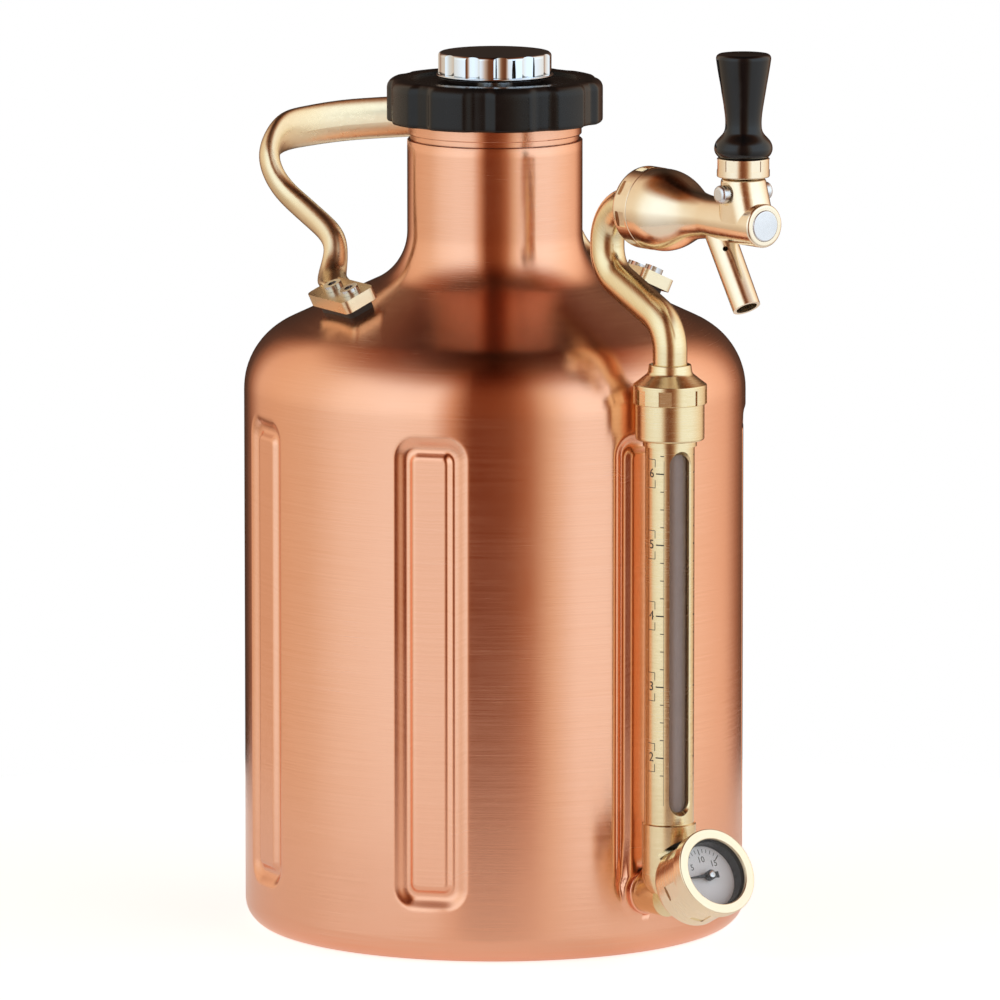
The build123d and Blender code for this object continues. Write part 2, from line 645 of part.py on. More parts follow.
with BuildPart() as tap_lever:
    with BuildSketch(Plane.YZ.offset(-LEVER_T / 2)):
        with Locations((TOWER_Y, PIVOT_Z)):
            Circle(4.2)
        with Locations((TOWER_Y, (TAP_Z + PIVOT_Z) / 2)):
            Rectangle(2.6, PIVOT_Z - TAP_Z)
        with Locations((TOWER_Y, TAP_Z)):
            Circle(1.75)
        with Locations((TOWER_Y, PIVOT_Z)):
            Circle(PIVOT_R, mode=Mode.SUBTRACT)
    extrude(amount=LEVER_T)
    with BuildSketch(Plane.XY.offset(PIVOT_Z + 3.2)):
        with Locations((0, TOWER_Y)):
            Circle(STEM_R)
    extrude(amount=HANDLE_TOP_Z - 12.0 - PIVOT_Z - 3.2)

with BuildPart() as lever_collar:
    turned([
        (STEM_R + GAP, 274.2, 0),
        (7.75, 274.2, 0.6),
        (7.75, TOWER_TOP_Z + 0.12, 0),
        (COLLAR_R, TOWER_TOP_Z + 0.12, 0.5),
        (COLLAR_R, COLLAR_TOP_Z, 0.5),
        (STEM_R + GAP, COLLAR_TOP_Z, 0),
    ])
    with Locations((0, 0, 275.0)):
        with PolarLocations(COLLAR_R, 6, start_angle=22):
            Box(0.9, 3.6, 3.6, mode=Mode.SUBTRACT)
lever_collar.part = lever_collar.part.moved(Location((0, TOWER_Y, 0)))

HANDLE_FLARE_R = 9.6
HANDLE_WAIST_R = 6.05
HANDLE_HEAD_R = 9.15
HANDLE_BOTTOM_Z = COLLAR_TOP_Z + GAP

with BuildPart() as tap_handle:
    with BuildSketch(Plane.XZ):
        with BuildLine():
            Line((0, HANDLE_BOTTOM_Z), (8.0, HANDLE_BOTTOM_Z))
            Spline([(8.0, HANDLE_BOTTOM_Z), (HANDLE_FLARE_R, 279.4), (HANDLE_FLARE_R, 281.3)])
            Spline([
                (HANDLE_FLARE_R, 281.3),
                (8.3, 283.6),
                (6.5, 285.8),
                (HANDLE_WAIST_R, 288.2),
                (6.7, 295.0),
                (8.2, 304.0),
                (HANDLE_HEAD_R, 310.0),
            ])
            Spline([(HANDLE_HEAD_R, 310.0), (8.9, 311.2), (8.2, 311.75)])
            Spline([(8.2, 311.75), (4.0, 311.4), (0, 311.3)])
            Line((0, 311.3), (0, HANDLE_BOTTOM_Z))
        make_face()
    revolve(axis=Axis.Z)
    with Locations((0, 0, (HANDLE_BOTTOM_Z + 300.3) / 2 - 1)):
        Cylinder(STEM_R + GAP, 300.3 - HANDLE_BOTTOM_Z + 2, mode=Mode.SUBTRACT)
tap_handle.part = tap_handle.part.moved(Location((0, TOWER_Y, 0)))

# ---- pressure gauge ------------------------------------------------------------
with BuildPart() as gauge_case:
    ring_prism(gauge_plane(CASE_BACK), CASE_R, 0, -CASE_BACK - 4.0)
    case_back_rim = gauge_case.edges().filter_by(GeomType.CIRCLE).sort_by(Axis.Y)[-1]
    fillet(case_back_rim, 1.6)
    ring_prism(gauge_plane(CASE_BACK - 5.0), 3.5, 0, 6.0)
    with BuildSketch(gauge_plane(CASE_BACK + 3.0)):
        Circle(CASE_BORE_R)
    extrude(amount=20, mode=Mode.SUBTRACT)
    with BuildSketch(gauge_plane(CASE_BACK - 6.0)):
        Circle(1.2)
    extrude(amount=10, mode=Mode.SUBTRACT)
    with Locations(gauge_plane(CASE_BACK + 8.5)):
        with PolarLocations(CASE_R, 6, start_angle=10):
            Box(1.0, 5.0, 6.0, mode=Mode.SUBTRACT)

with BuildPart() as gauge_bezel:
    ring_prism(gauge_plane(-4.0 + GAP), BEZEL_R, 12.7, 4.0 - GAP)
    with BuildSketch(gauge_plane(0)):
        Circle(BEZEL_R)
        Circle(12.7 - 1.2, mode=Mode.SUBTRACT)
    extrude(amount=-1.0)
    bezel_front = gauge_bezel.faces().sort_by(Axis(gauge_plane(0).origin, gauge_plane(0).z_dir))[-1]
    fillet(bezel_front.edges(), 0.45)

with BuildPart() as gauge_lens:
    ring_prism(gauge_plane(-2.2), 12.5, 0, 1.15)

with BuildPart() as gauge_ring:
    ring_prism(gauge_plane(-6.4), CASE_BORE_R - GAP, 10.9, 2.45)
    ring_prism(gauge_plane(-3.95), 12.5, 10.9, 1.7)

with BuildPart() as gauge_dial:
    ring_prism(gauge_plane(-7.2), CASE_BORE_R - GAP, 0.9, 0.75)

with BuildPart() as bourdon_tube:
    tube_plane = gauge_plane(-11.2)
    with BuildLine(tube_plane) as bourdon_line:
        CenterArc((0, 0), 7.6, -90, 270)
    with BuildSketch(Plane(bourdon_line.wires()[0] @ 0, z_dir=bourdon_line.wires()[0] % 0)):
        Ellipse(0.9, 1.7)
    sweep(path=bourdon_line.wires()[0])
    with BuildSketch(gauge_plane(CASE_BACK + 3.0 + GAP)):
        with Locations((0, -7.6)):
            Rectangle(4.0, 3.0)
    extrude(amount=4.4)

with BuildPart() as gauge_pointer:
    ring_prism(gauge_plane(-10.0), 0.5, 0, 6.6)
    ring_prism(gauge_plane(-5.4), 1.7, 0, 2.0)
    with BuildSketch(gauge_plane(-4.9)):
        with BuildLine():
            Polyline((1.0, 0.9), (-8.6, 0.15), (-8.6, -0.15), (1.0, -0.9), (3.6, -1.1), (3.6, 1.1), close=True)
        make_face()
    extrude(amount=0.6)

# ---- carrying handle ------------------------------------------------------------
SLOPE_RAD = math.radians(SLOPE_DEG)


def foot_plane(side, lift):
    """Plane of one handle foot, raised square to the shoulder."""
    out = Vector(side * math.sin(SLOPE_RAD), 0, math.cos(SLOPE_RAD))
    start = Vector(side * FOOT_X, FOOT_Y, slope_height(FOOT_X, 0)) + out * lift
    return Plane(origin=start, x_dir=(0, 1, 0), z_dir=out)


# Half of the handle centreline: X, Y, Z, half width and half thickness.
HANDLE_STATIONS = [
    (-53.6, 11.0, 221.8, 2.0, 5.6),
    (-52.4, 18.0, 222.3, 2.7, 5.4),
    (-50.0, 24.0, 223.6, 3.6, 4.9),
    (-46.8, 28.6, 227.8, 4.2, 4.4),
    (-45.0, 32.2, 233.6, 4.5, 4.1),
    (-46.2, 41.4, 239.8, 4.7, 3.9),
    (-49.0, 53.0, 245.6, 4.9, 3.8),
    (-52.2, 61.2, 252.2, 5.2, 3.7),
    (-52.8, 66.6, 260.0, 5.9, 3.6),
    (-46.8, 72.4, 266.0, 6.6, 3.5),
    (-34.0, 78.8, 268.2, 7.1, 3.4),
    (-17.0, 83.2, 268.9, 7.2, 3.4),
    (0.0, 84.6, 269.0, 7.2, 3.4),
]


def handle_points():
    """All stations of the handle, left foot to right foot."""
    mirrored = [(-x, y, z, w, t) for x, y, z, w, t in HANDLE_STATIONS[:-1]]
    return HANDLE_STATIONS + mirrored[::-1]


with BuildPart() as handle_bar:
    stations = handle_points()
    spots = [Vector(x, y, z) for x, y, z, w, t in stations]
    for index, (x, y, z, half_w, half_t) in enumerate(stations):
        behind = spots[max(index - 1, 0)]
        ahead = spots[min(index + 1, len(spots) - 1)]
        along = (ahead - behind).normalized()
        inward = (Vector(0, y - 30.0, z) - spots[index])
        inward = (inward - along * inward.dot(along)).normalized()
        with BuildSketch(Plane(spots[index], x_dir=inward, z_dir=along)):
            Ellipse(half_t, half_w)
    loft()
    for side in (-1, 1):
        with BuildSketch(foot_plane(side, PAD_T)):
            RectangleRounded(FOOT_L, FOOT_W, 2.2)
        extrude(amount=FOOT_T)
    for side in (-1, 1):
        with Locations(foot_plane(side, PAD_T + FOOT_T + 4.0)):
            with Locations((-SCREW_PITCH + 4.2, 0, 0), (4.2, 0, 0)):
                Cylinder(SCREW_HEAD_R + 0.6, 8.0, mode=Mode.SUBTRACT)
    for side in (-1, 1):
        with Locations(foot_plane(side, PAD_T + FOOT_T / 2)):
            with Locations((-SCREW_PITCH + 4.2, 0, 0), (4.2, 0, 0)):
                Cylinder(1.75, FOOT_T + 2, mode=Mode.SUBTRACT)
handle_bar.part = handle_bar.part.rotate(Axis.Z, HANDLE_YAW)

with BuildPart() as handle_pads:
    turned(OUTLINE)
    for side in (-1, 1):
        with BuildSketch(foot_plane(side, -1.5)):
            RectangleRounded(FOOT_L - 5, FOOT_W - 3, 2.0)
        extrude(amount=PAD_T + 1.5)
    turned(OUTLINE, Mode.SUBTRACT)
    for side in (-1, 1):
        with Locations(foot_plane(side, 0)):
            with Locations((-SCREW_PITCH + 4.2, 0, 0), (4.2, 0, 0)):
                Cylinder(1.7, 8.0, mode=Mode.SUBTRACT)
handle_pads.part = handle_pads.part.rotate(Axis.Z, HANDLE_YAW)

with BuildPart() as handle_screws:
    for side in (-1, 1):
        with Locations(foot_plane(side, PAD_T + FOOT_T + GAP + 1.0)):
            with Locations((-SCREW_PITCH + 4.2, 0, 0), (4.2, 0, 0)):
                Cylinder(SCREW_HEAD_R, 2.0)
        with Locations(foot_plane(side, 0.4 + (PAD_T + FOOT_T) / 2)):
            with Locations((-SCREW_PITCH + 4.2, 0, 0), (4.2, 0, 0)):
                Cylinder(1.6, PAD_T + FOOT_T)
    for side in (-1, 1):
        with BuildSketch(foot_plane(side, PAD_T + FOOT_T + 2.0 + GAP)):
            with Locations((-SCREW_PITCH + 4.2, 0), (4.2, 0)):
                RegularPolygon(1.7, 6)
        extrude(amount=-1.3, mode=Mode.SUBTRACT)
handle_screws.part = handle_screws.part.rotate(Axis.Z, HANDLE_YAW)

# ---- cap, regulator and gas cartridge ---------------------------------------------
with BuildPart() as cap_gasket:
    turned([
        (REG_R + 0.6, MOUTH_TOP_Z + GAP, 0),
        (GROOVE_R, MOUTH_TOP_Z + GAP, 0),
        (GROOVE_R, CAP_WEB_Z, 0),
        (REG_R + 0.6, CAP_WEB_Z, 0),
    ])

with BuildPart() as cap_shell:
    turned([
        (CAP_BORE_R, CAP_BOTTOM_Z, 0),
        (CAP_R, CAP_BOTTOM_Z, 1.2),
        (CAP_R, CAP_TOP_Z, 4.2),
        (REG_R - 3.4, CAP_TOP_Z, 0),
        (REG_R - 3.4, CAP_TOP_Z - 1.2, 0),
        (16.0, CAP_TOP_Z - 1.2, 0),
        (16.0, CAP_WEB_Z, 0),
        (CAP_BORE_R, CAP_WEB_Z, 0),
    ])
    for turn in range(THREAD_TURNS):
        base = LIP_TOP_Z + 2.4 + turn * THREAD_PITCH - THREAD_PITCH / 2
        turned([
            (THREAD_CREST_R + 0.3, base + 0.4, 0),
            (CAP_BORE_R + 0.5, base, 0),
            (CAP_BORE_R + 0.5, base + THREAD_T, 0),
            (THREAD_CREST_R + 0.3, base + THREAD_T - 0.4, 0),
        ])
    with Locations((0, 0, (CAP_BOTTOM_Z + CAP_TOP_Z) / 2)):
        with PolarLocations(CAP_R + 11.0 - 1.3, CAP_LOBES, start_angle=9):
            Cylinder(11.0, CAP_TOP_Z - CAP_BOTTOM_Z + 4, mode=Mode.SUBTRACT)

with BuildPart() as regulator_body:
    turned([
        (6.1, 286.0, 0),
        (6.1, CAP_TOP_Z - 1.3, 0),
        (15.9, CAP_TOP_Z - 1.3, 0),
        (15.9, CAP_WEB_Z - 0.1, 0),
        (REG_R, CAP_WEB_Z - 0.1, 0),
        (REG_R, REG_BOTTOM_Z, 1.0),
        (13.1, REG_BOTTOM_Z, 0),
        (13.1, REG_BOTTOM_Z - 9.0, 0),
        (11.2, REG_BOTTOM_Z - 9.0, 0),
        (11.2, REG_BOTTOM_Z, 0),
        (1.4, REG_BOTTOM_Z, 0),
        (1.4, REG_BOTTOM_Z + 2.5, 0),
        (11.0, REG_BOTTOM_Z + 2.5, 0),
        (11.0, 286.0, 0),
    ])
    with Locations((19.0, 0, 279.0)):
        Cylinder(2.6, 30, mode=Mode.SUBTRACT)

with BuildPart() as diaphragm:
    with Locations((0, 0, REG_BOTTOM_Z + 2.5 + 0.6)):
        Cylinder(10.95, 1.1)

with BuildPart() as relief_valve:
    with Locations((19.0, 0, 280.5)):
        Cylinder(2.5, 13.8)
    with Locations((19.0, 0, 272.8)):
        Cone(1.4, 2.4, 1.6)

with BuildPart() as pierce_pin:
    with Locations((0, 0, 269.4)):
        Cylinder(1.3, 10.2)
    with Locations((0, 0, 263.2)):
        Cone(0.3, 1.3, 2.2)

with BuildPart() as cartridge_sleeve:
    turned([
        (0, SLEEVE_BOTTOM_Z, 0),
        (SLEEVE_R, SLEEVE_BOTTOM_Z, 4.0),
        (SLEEVE_R, REG_BOTTOM_Z - 0.1, 0),
        (SLEEVE_BORE_R, REG_BOTTOM_Z - 0.1, 0),
        (SLEEVE_BORE_R, SLEEVE_BOTTOM_Z + 1.4, 2.6),
        (0, SLEEVE_BOTTOM_Z + 1.4, 0),
    ])

with BuildPart() as gas_cartridge:
    turned([
        (0, SLEEVE_BOTTOM_Z + 1.5, 0),
        (CARTRIDGE_R, SLEEVE_BOTTOM_Z + 1.5, 8.0),
        (CARTRIDGE_R, 240.0, 7.0),
        (4.4, 249.0, 4.0),
        (4.4, 261.0, 0.6),
        (0, 261.0, 0),
    ])

with BuildPart() as pressure_knob:
    turned([
        (0, KNOB_BOTTOM_Z, 0),
        (KNOB_R + 0.7, KNOB_BOTTOM_Z, 0.2),
        (KNOB_R + 0.7, KNOB_BOTTOM_Z + 1.0, 0.3),
        (KNOB_R, KNOB_BOTTOM_Z + 1.2, 0),
        (KNOB_R, KNOB_TOP_Z - 0.2, 1.2),
        (9.0, KNOB_TOP_Z + 0.5, 0),
        (0, KNOB_TOP_Z + 0.7, 0),
    ])
    with Locations((0, 0, (KNOB_BOTTOM_Z + KNOB_TOP_Z) / 2 + 1.6)):
        with PolarLocations(KNOB_R + 7.0 - 0.7, KNOB_FLUTES):
            Cylinder(7.0, KNOB_TOP_Z - KNOB_BOTTOM_Z + 0.8, mode=Mode.SUBTRACT)
    with Locations((0, 0, (KNOB_BOTTOM_Z + 285.1) / 2)):
        Cylinder(6.04, KNOB_BOTTOM_Z - 285.1)

with BuildPart() as spring_follower:
    with Locations((0, 0, 284.0)):
        Cylinder(10.6, 1.8)
    with Locations((0, 0, 282.0)):
        Cylinder(6.2, 2.4)

with BuildPart() as regulator_spring:
    with BuildLine() as spring_line:
        Helix(pitch=2.3, height=6.0, radius=8.2)
    with BuildSketch(Plane(spring_line.wires()[0] @ 0, z_dir=spring_line.wires()[0] % 0)):
        Circle(0.7)
    sweep(path=spring_line.wires()[0])
regulator_spring.part = regulator_spring.part.moved(Location((0, 0, 276.4)))

NODES = {
    "outer_shell": outer_shell,
    "base_plate": base_plate,
    "vacuum_button": vacuum_button,
    "inner_vessel": inner_vessel,
    "mouth_ring": mouth_ring,
    "port_fitting": port_fitting,
    "port_seals": port_seals,
    "port_trim": port_trim,
    "lower_manifold": lower_manifold,
    "sight_tube": sight_tube,
    "sight_glass": sight_glass,
    "glass_seals": glass_seals,
    "union_seal": union_seal,
    "union_nut": union_nut,
    "gooseneck": gooseneck,
    "shank_seal": shank_seal,
    "shank_nut": shank_nut,
    "tap_body": tap_body,
    "pivot_pin": pivot_pin,
    "front_plug": front_plug,
    "valve_shaft": valve_shaft,
    "valve_washer": valve_washer,
    "tap_lever": tap_lever,
    "lever_collar": lever_collar,
    "tap_handle": tap_handle,
    "gauge_case": gauge_case,
    "gauge_bezel": gauge_bezel,
    "gauge_lens": gauge_lens,
    "gauge_ring": gauge_ring,
    "gauge_dial": gauge_dial,
    "bourdon_tube": bourdon_tube,
    "gauge_pointer": gauge_pointer,
    "handle_bar": handle_bar,
    "handle_pads": handle_pads,
    "handle_screws": handle_screws,
    "cap_gasket": cap_gasket,
    "cap_shell": cap_shell,
    "regulator_body": regulator_body,
    "diaphragm": diaphragm,
    "relief_valve": relief_valve,
    "pierce_pin": pierce_pin,
    "cartridge_sleeve": cartridge_sleeve,
    "gas_cartridge": gas_cartridge,
    "pressure_knob": pressure_knob,
    "spring_follower": spring_follower,
    "regulator_spring": regulator_spring,
}

for label, node in NODES.items():
    node.part.label = label
    export_step(node.part, "parts/" + label + ".step")
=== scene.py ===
import math

import bmesh
import bpy
import numpy as np
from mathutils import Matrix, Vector


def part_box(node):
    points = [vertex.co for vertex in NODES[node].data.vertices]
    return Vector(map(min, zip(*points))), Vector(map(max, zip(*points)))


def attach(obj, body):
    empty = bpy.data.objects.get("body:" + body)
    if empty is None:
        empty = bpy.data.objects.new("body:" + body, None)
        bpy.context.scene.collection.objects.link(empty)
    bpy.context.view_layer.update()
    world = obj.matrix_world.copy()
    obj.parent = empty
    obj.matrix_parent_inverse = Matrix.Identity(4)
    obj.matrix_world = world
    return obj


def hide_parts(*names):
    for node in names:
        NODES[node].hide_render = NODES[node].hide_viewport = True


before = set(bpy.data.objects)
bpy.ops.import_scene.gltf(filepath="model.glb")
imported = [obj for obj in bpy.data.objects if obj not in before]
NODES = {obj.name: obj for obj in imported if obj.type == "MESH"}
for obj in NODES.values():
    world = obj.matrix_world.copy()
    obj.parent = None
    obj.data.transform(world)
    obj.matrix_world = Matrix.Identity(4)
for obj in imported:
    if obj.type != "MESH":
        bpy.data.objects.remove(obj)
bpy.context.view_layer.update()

MM = 0.001

# ---- sizes read from the frame -------------------------------------------------
shell_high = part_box("outer_shell")[1]
tube_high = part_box("sight_tube")[1]
cap_low, cap_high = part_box("cap_shell")
BODY_R = shell_high.x
NECK_TOP = shell_high.z
TUBE_R = tube_high.x
TUBE_Y = tube_high.y - TUBE_R
CAP_R = cap_high.x


# ---- mesh helpers ----------------------------------------------------------------
def add_object(name, mesh, smooth=True):
    """A linked object around a mesh, smooth shaded."""
    mesh.validate()
    if smooth:
        mesh.shade_smooth()
    piece = bpy.data.objects.new(name, mesh)
    bpy.context.scene.collection.objects.link(piece)
    return piece


def mesh_from(name, verts, faces):
    """A mesh from plain lists, with its normals made to point outward."""
    mesh = bpy.data.meshes.new(name)
    mesh.from_pydata([tuple(v) for v in verts], [], [tuple(f) for f in faces])
    work = bmesh.new()
    work.from_mesh(mesh)
    bmesh.ops.recalc_face_normals(work, faces=work.faces)
    work.to_mesh(mesh)
    work.free()
    return mesh


def sampled(points, turn_step=6.0):
    """Lines through (u, v, corner radius) points, with the corners as short chords."""
    here = Vector(points[0][:2])
    out = [here]
    for index in range(1, len(points)):
        corner = Vector(points[index][:2])
        radius = points[index][2]
        if radius > 0 and index + 1 < len(points):
            ahead = Vector(points[index + 1][:2])
            back_dir = (here - corner).normalized()
            ahead_dir = (ahead - corner).normalized()
            half = back_dir.angle(ahead_dir) / 2
            reach = radius / math.tan(half)
            start = corner + back_dir * reach
            end = corner + ahead_dir * reach
            centre = corner + (back_dir + ahead_dir).normalized() * (radius / math.sin(half))
            turn = math.pi - 2 * half
            steps = max(2, math.ceil(math.degrees(turn) / turn_step))
            first = start - centre
            side = 1.0 if first.x * (end - centre).y - first.y * (end - centre).x > 0 else -1.0
            out.append(start)
            for step in range(1, steps):
                angle = side * turn * step / steps
                cos, sin = math.cos(angle), math.sin(angle)
                out.append(centre + Vector((first.x * cos - first.y * sin, first.x * sin + first.y * cos)))
            out.append(end)
            here = end
        else:
            out.append(corner)
            here = corner
    return out


def with_runs(points, step):
    """The same line with its long runs cut into shorter ones."""
    out = [points[0]]
    for start, end in zip(points, points[1:]):
        count = max(1, math.ceil((end - start).length / step))
        for index in range(1, count + 1):
            out.append(start.lerp(end, index / count))
    return out


def ring_faces(rows, columns, close_rows=False):
    """Quads of a grid that wraps round, row by row."""
    faces = []
    last = rows if close_rows else rows - 1
    for row in range(last):
        low = row * columns
        high = ((row + 1) % rows) * columns
        for column in range(columns):
            following = (column + 1) % columns
            faces.append((low + column, low + following, high + following, high + column))
    return faces


def smooth_step(value):
    """0 below 0, 1 above 1, and smooth between them."""
    value = np.clip(value, 0.0, 1.0)
    return value * value * (3 - 2 * value)


def applied(piece):
    """The piece's modifiers applied to its mesh."""
    graph = bpy.context.evaluated_depsgraph_get()
    mesh = bpy.data.meshes.new_from_object(piece.evaluated_get(graph))
    old = piece.data
    piece.modifiers.clear()
    piece.data = mesh
    mesh.name = piece.name
    if old.users == 0:
        bpy.data.meshes.remove(old)
    return piece


# ---- node helpers for materials -----------------------------------------------------
class Nodes:
    """Short calls for building one material's node tree."""

    def __init__(self, name):
        self.material = bpy.data.materials.new(name)
        self.material.use_nodes = True
        self.tree = self.material.node_tree
        self.shader = self.tree.nodes["Principled BSDF"]

    def add(self, kind, **settings):
        node = self.tree.nodes.new(kind)
        for key, value in settings.items():
            setattr(node, key, value)
        return node

    def link(self, start, end):
        self.tree.links.new(start, end)

    def set(self, **values):
        for key, value in values.items():
            self.shader.inputs[key.replace("_", " ")].default_value = value

    def math(self, operation, first, second=None):
        node = self.add("ShaderNodeMath", operation=operation)
        for socket, value in zip(node.inputs, (first, second)):
            if value is None:
                continue
            if isinstance(value, (int, float)):
                socket.default_value = value
            else:
                self.link(value, socket)
        return node.outputs[0]

    def noise(self, vector, scale, detail=2.0, roughness=0.5):
        node = self.add("ShaderNodeTexNoise")
        node.inputs["Scale"].default_value = scale
        node.inputs["Detail"].default_value = detail
        node.inputs["Roughness"].default_value = roughness
        self.link(vector, node.inputs["Vector"])
        return node.outputs["Fac"]

    def ramp(self, value, low, high, start=0.0, end=1.0):
        node = self.add("ShaderNodeMapRange")
        node.inputs["From Min"].default_value = start
        node.inputs["From Max"].default_value = end
        node.inputs["To Min"].default_value = low
        node.inputs["To Max"].default_value = high
        self.link(value, node.inputs["Value"])
        return node.outputs["Result"]

    def tint(self, value, first, second):
        node = self.add("ShaderNodeMix", data_type="RGBA")
        node.inputs["A"].default_value = (*first, 1)
        node.inputs["B"].default_value = (*second, 1)
        self.link(value, node.inputs["Factor"])
        self.link(node.outputs["Result"], self.shader.inputs["Base Color"])

    def bump(self, height, strength, distance):
        node = self.add("ShaderNodeBump")
        node.inputs["Strength"].default_value = strength
        node.inputs["Distance"].default_value = distance
        self.link(height, node.inputs["Height"])
        self.link(node.outputs["Normal"], self.shader.inputs["Normal"])

    def place(self):
        return self.add("ShaderNodeTexCoord").outputs["Object"]

    def moved(self, offset, turn):
        """Object coordinates seen from another origin and turned."""
        node = self.add("ShaderNodeMapping", vector_type="TEXTURE")
        node.inputs["Location"].default_value = offset
        node.inputs["Rotation"].default_value = turn
        self.link(self.place(), node.inputs["Vector"])
        return node.outputs["Vector"]

    def round_grain(self, vector, along, across):
        """Coordinates for brushing that runs round the local Z axis."""
        split = self.add("ShaderNodeSeparateXYZ")
        self.link(vector, split.inputs[0])
        x, y, z = split.outputs
        angle = self.math("ARCTAN2", x, y)
        reach = self.math("SQRT", self.math("ADD", self.math("MULTIPLY", x, x), self.math("MULTIPLY", y, y)))
        rise = self.math("SUBTRACT", z, reach)
        join = self.add("ShaderNodeCombineXYZ")
        self.link(self.math("MULTIPLY", self.math("COSINE", angle), along), join.inputs[0])
        self.link(self.math("MULTIPLY", self.math("SINE", angle), along), join.inputs[1])
        self.link(self.math("MULTIPLY", rise, across), join.inputs[2])
        return join.outputs[0]


def brushed_round(name, light, dark, roughness, anisotropy, offset=(0, 0, 0), turn=(0, 0, 0),
                  along=2.0, across=900.0, grain=0.06, bump=0.25, wear=0.10):
    """Metal brushed or turned round an axis: grain, cloudy tone and faint scratches."""
    nodes = Nodes(name)
    nodes.set(Metallic=1.0, Anisotropic=anisotropy, Anisotropic_Rotation=0.25)
    vector = nodes.moved(offset, turn)
    streaks = nodes.noise(nodes.round_grain(vector, along, across), 1.0, 4.0, 0.65)
    clouds = nodes.noise(vector, 26.0, 3.0, 0.55)
    rough = nodes.math("ADD", nodes.ramp(streaks, roughness - grain, roughness + grain, 0.25, 0.75),
                       nodes.ramp(clouds, -wear * 0.3, wear * 0.3, 0.3, 0.7))
    nodes.link(rough, nodes.shader.inputs["Roughness"])
    tone = nodes.math("ADD", nodes.math("MULTIPLY", streaks, 0.75), nodes.math("MULTIPLY", clouds, 0.25))
    nodes.tint(nodes.ramp(tone, 0.0, 1.0, 0.32, 0.68), dark, light)
    nodes.bump(streaks, bump, 0.00002)
    tangent = nodes.add("ShaderNodeTangent", direction_type="RADIAL", axis="Z")
    nodes.link(tangent.outputs[0], nodes.shader.inputs["Tangent"])
    return nodes.material


def satin_metal(name, light, dark, roughness, stretch=(60, 60, 60), grain=0.05, bump=0.15):
    """Metal with a fine satin or cast finish and no single brushing axis."""
    nodes = Nodes(name)
    nodes.set(Metallic=1.0)
    scale = nodes.add("ShaderNodeMapping")
    scale.inputs["Scale"].default_value = stretch
    nodes.link(nodes.place(), scale.inputs["Vector"])
    fine = nodes.noise(scale.outputs[0], 12.0, 4.0, 0.6)
    clouds = nodes.noise(nodes.place(), 70.0, 2.0, 0.5)
    rough = nodes.math("ADD", nodes.ramp(fine, roughness - grain, roughness + grain, 0.3, 0.7),
                       nodes.ramp(clouds, -0.03, 0.03, 0.3, 0.7))
    nodes.link(rough, nodes.shader.inputs["Roughness"])
    nodes.tint(nodes.ramp(clouds, 0.0, 1.0, 0.3, 0.7), dark, light)
    nodes.bump(fine, bump, 0.00002)
    return nodes.material


def plastic(name, base, light, roughness, coat=0.0, bump=0.1, grain_scale=2600.0, specular=0.5):
    """Moulded plastic or rubber with a fine skin and soft smudges."""
    nodes = Nodes(name)
    nodes.set(Coat_Weight=coat, Coat_Roughness=0.08, Specular_IOR_Level=specular)
    fine = nodes.noise(nodes.place(), grain_scale, 2.0, 0.5)
    smudge = nodes.noise(nodes.place(), 60.0, 3.0, 0.6)
    rough = nodes.math("ADD", nodes.ramp(smudge, roughness - 0.06, roughness + 0.08, 0.3, 0.7),
                       nodes.ramp(fine, -0.02, 0.02, 0.3, 0.7))
    nodes.link(rough, nodes.shader.inputs["Roughness"])
    nodes.tint(nodes.ramp(smudge, 0.0, 1.0, 0.3, 0.7), base, light)
    nodes.bump(fine, bump, 0.00002)
    return nodes.material


def see_through(name, tint, cover, roughness):
    """Clear glass that lets most light straight through, with faint streaks in its polish."""
    nodes = Nodes(name)
    nodes.set(IOR=1.52, Coat_Weight=1.0, Coat_Roughness=0.02)
    streaks = nodes.noise(nodes.place(), 200.0, 2.0, 0.5)
    nodes.link(nodes.ramp(streaks, roughness, roughness + 0.03, 0.3, 0.7), nodes.shader.inputs["Roughness"])
    nodes.link(nodes.ramp(streaks, cover * 0.9, cover * 1.1, 0.3, 0.7), nodes.shader.inputs["Alpha"])
    nodes.tint(nodes.ramp(streaks, 0.0, 1.0, 0.3, 0.7), tint, tuple(0.9 * c for c in tint))
    return nodes.material


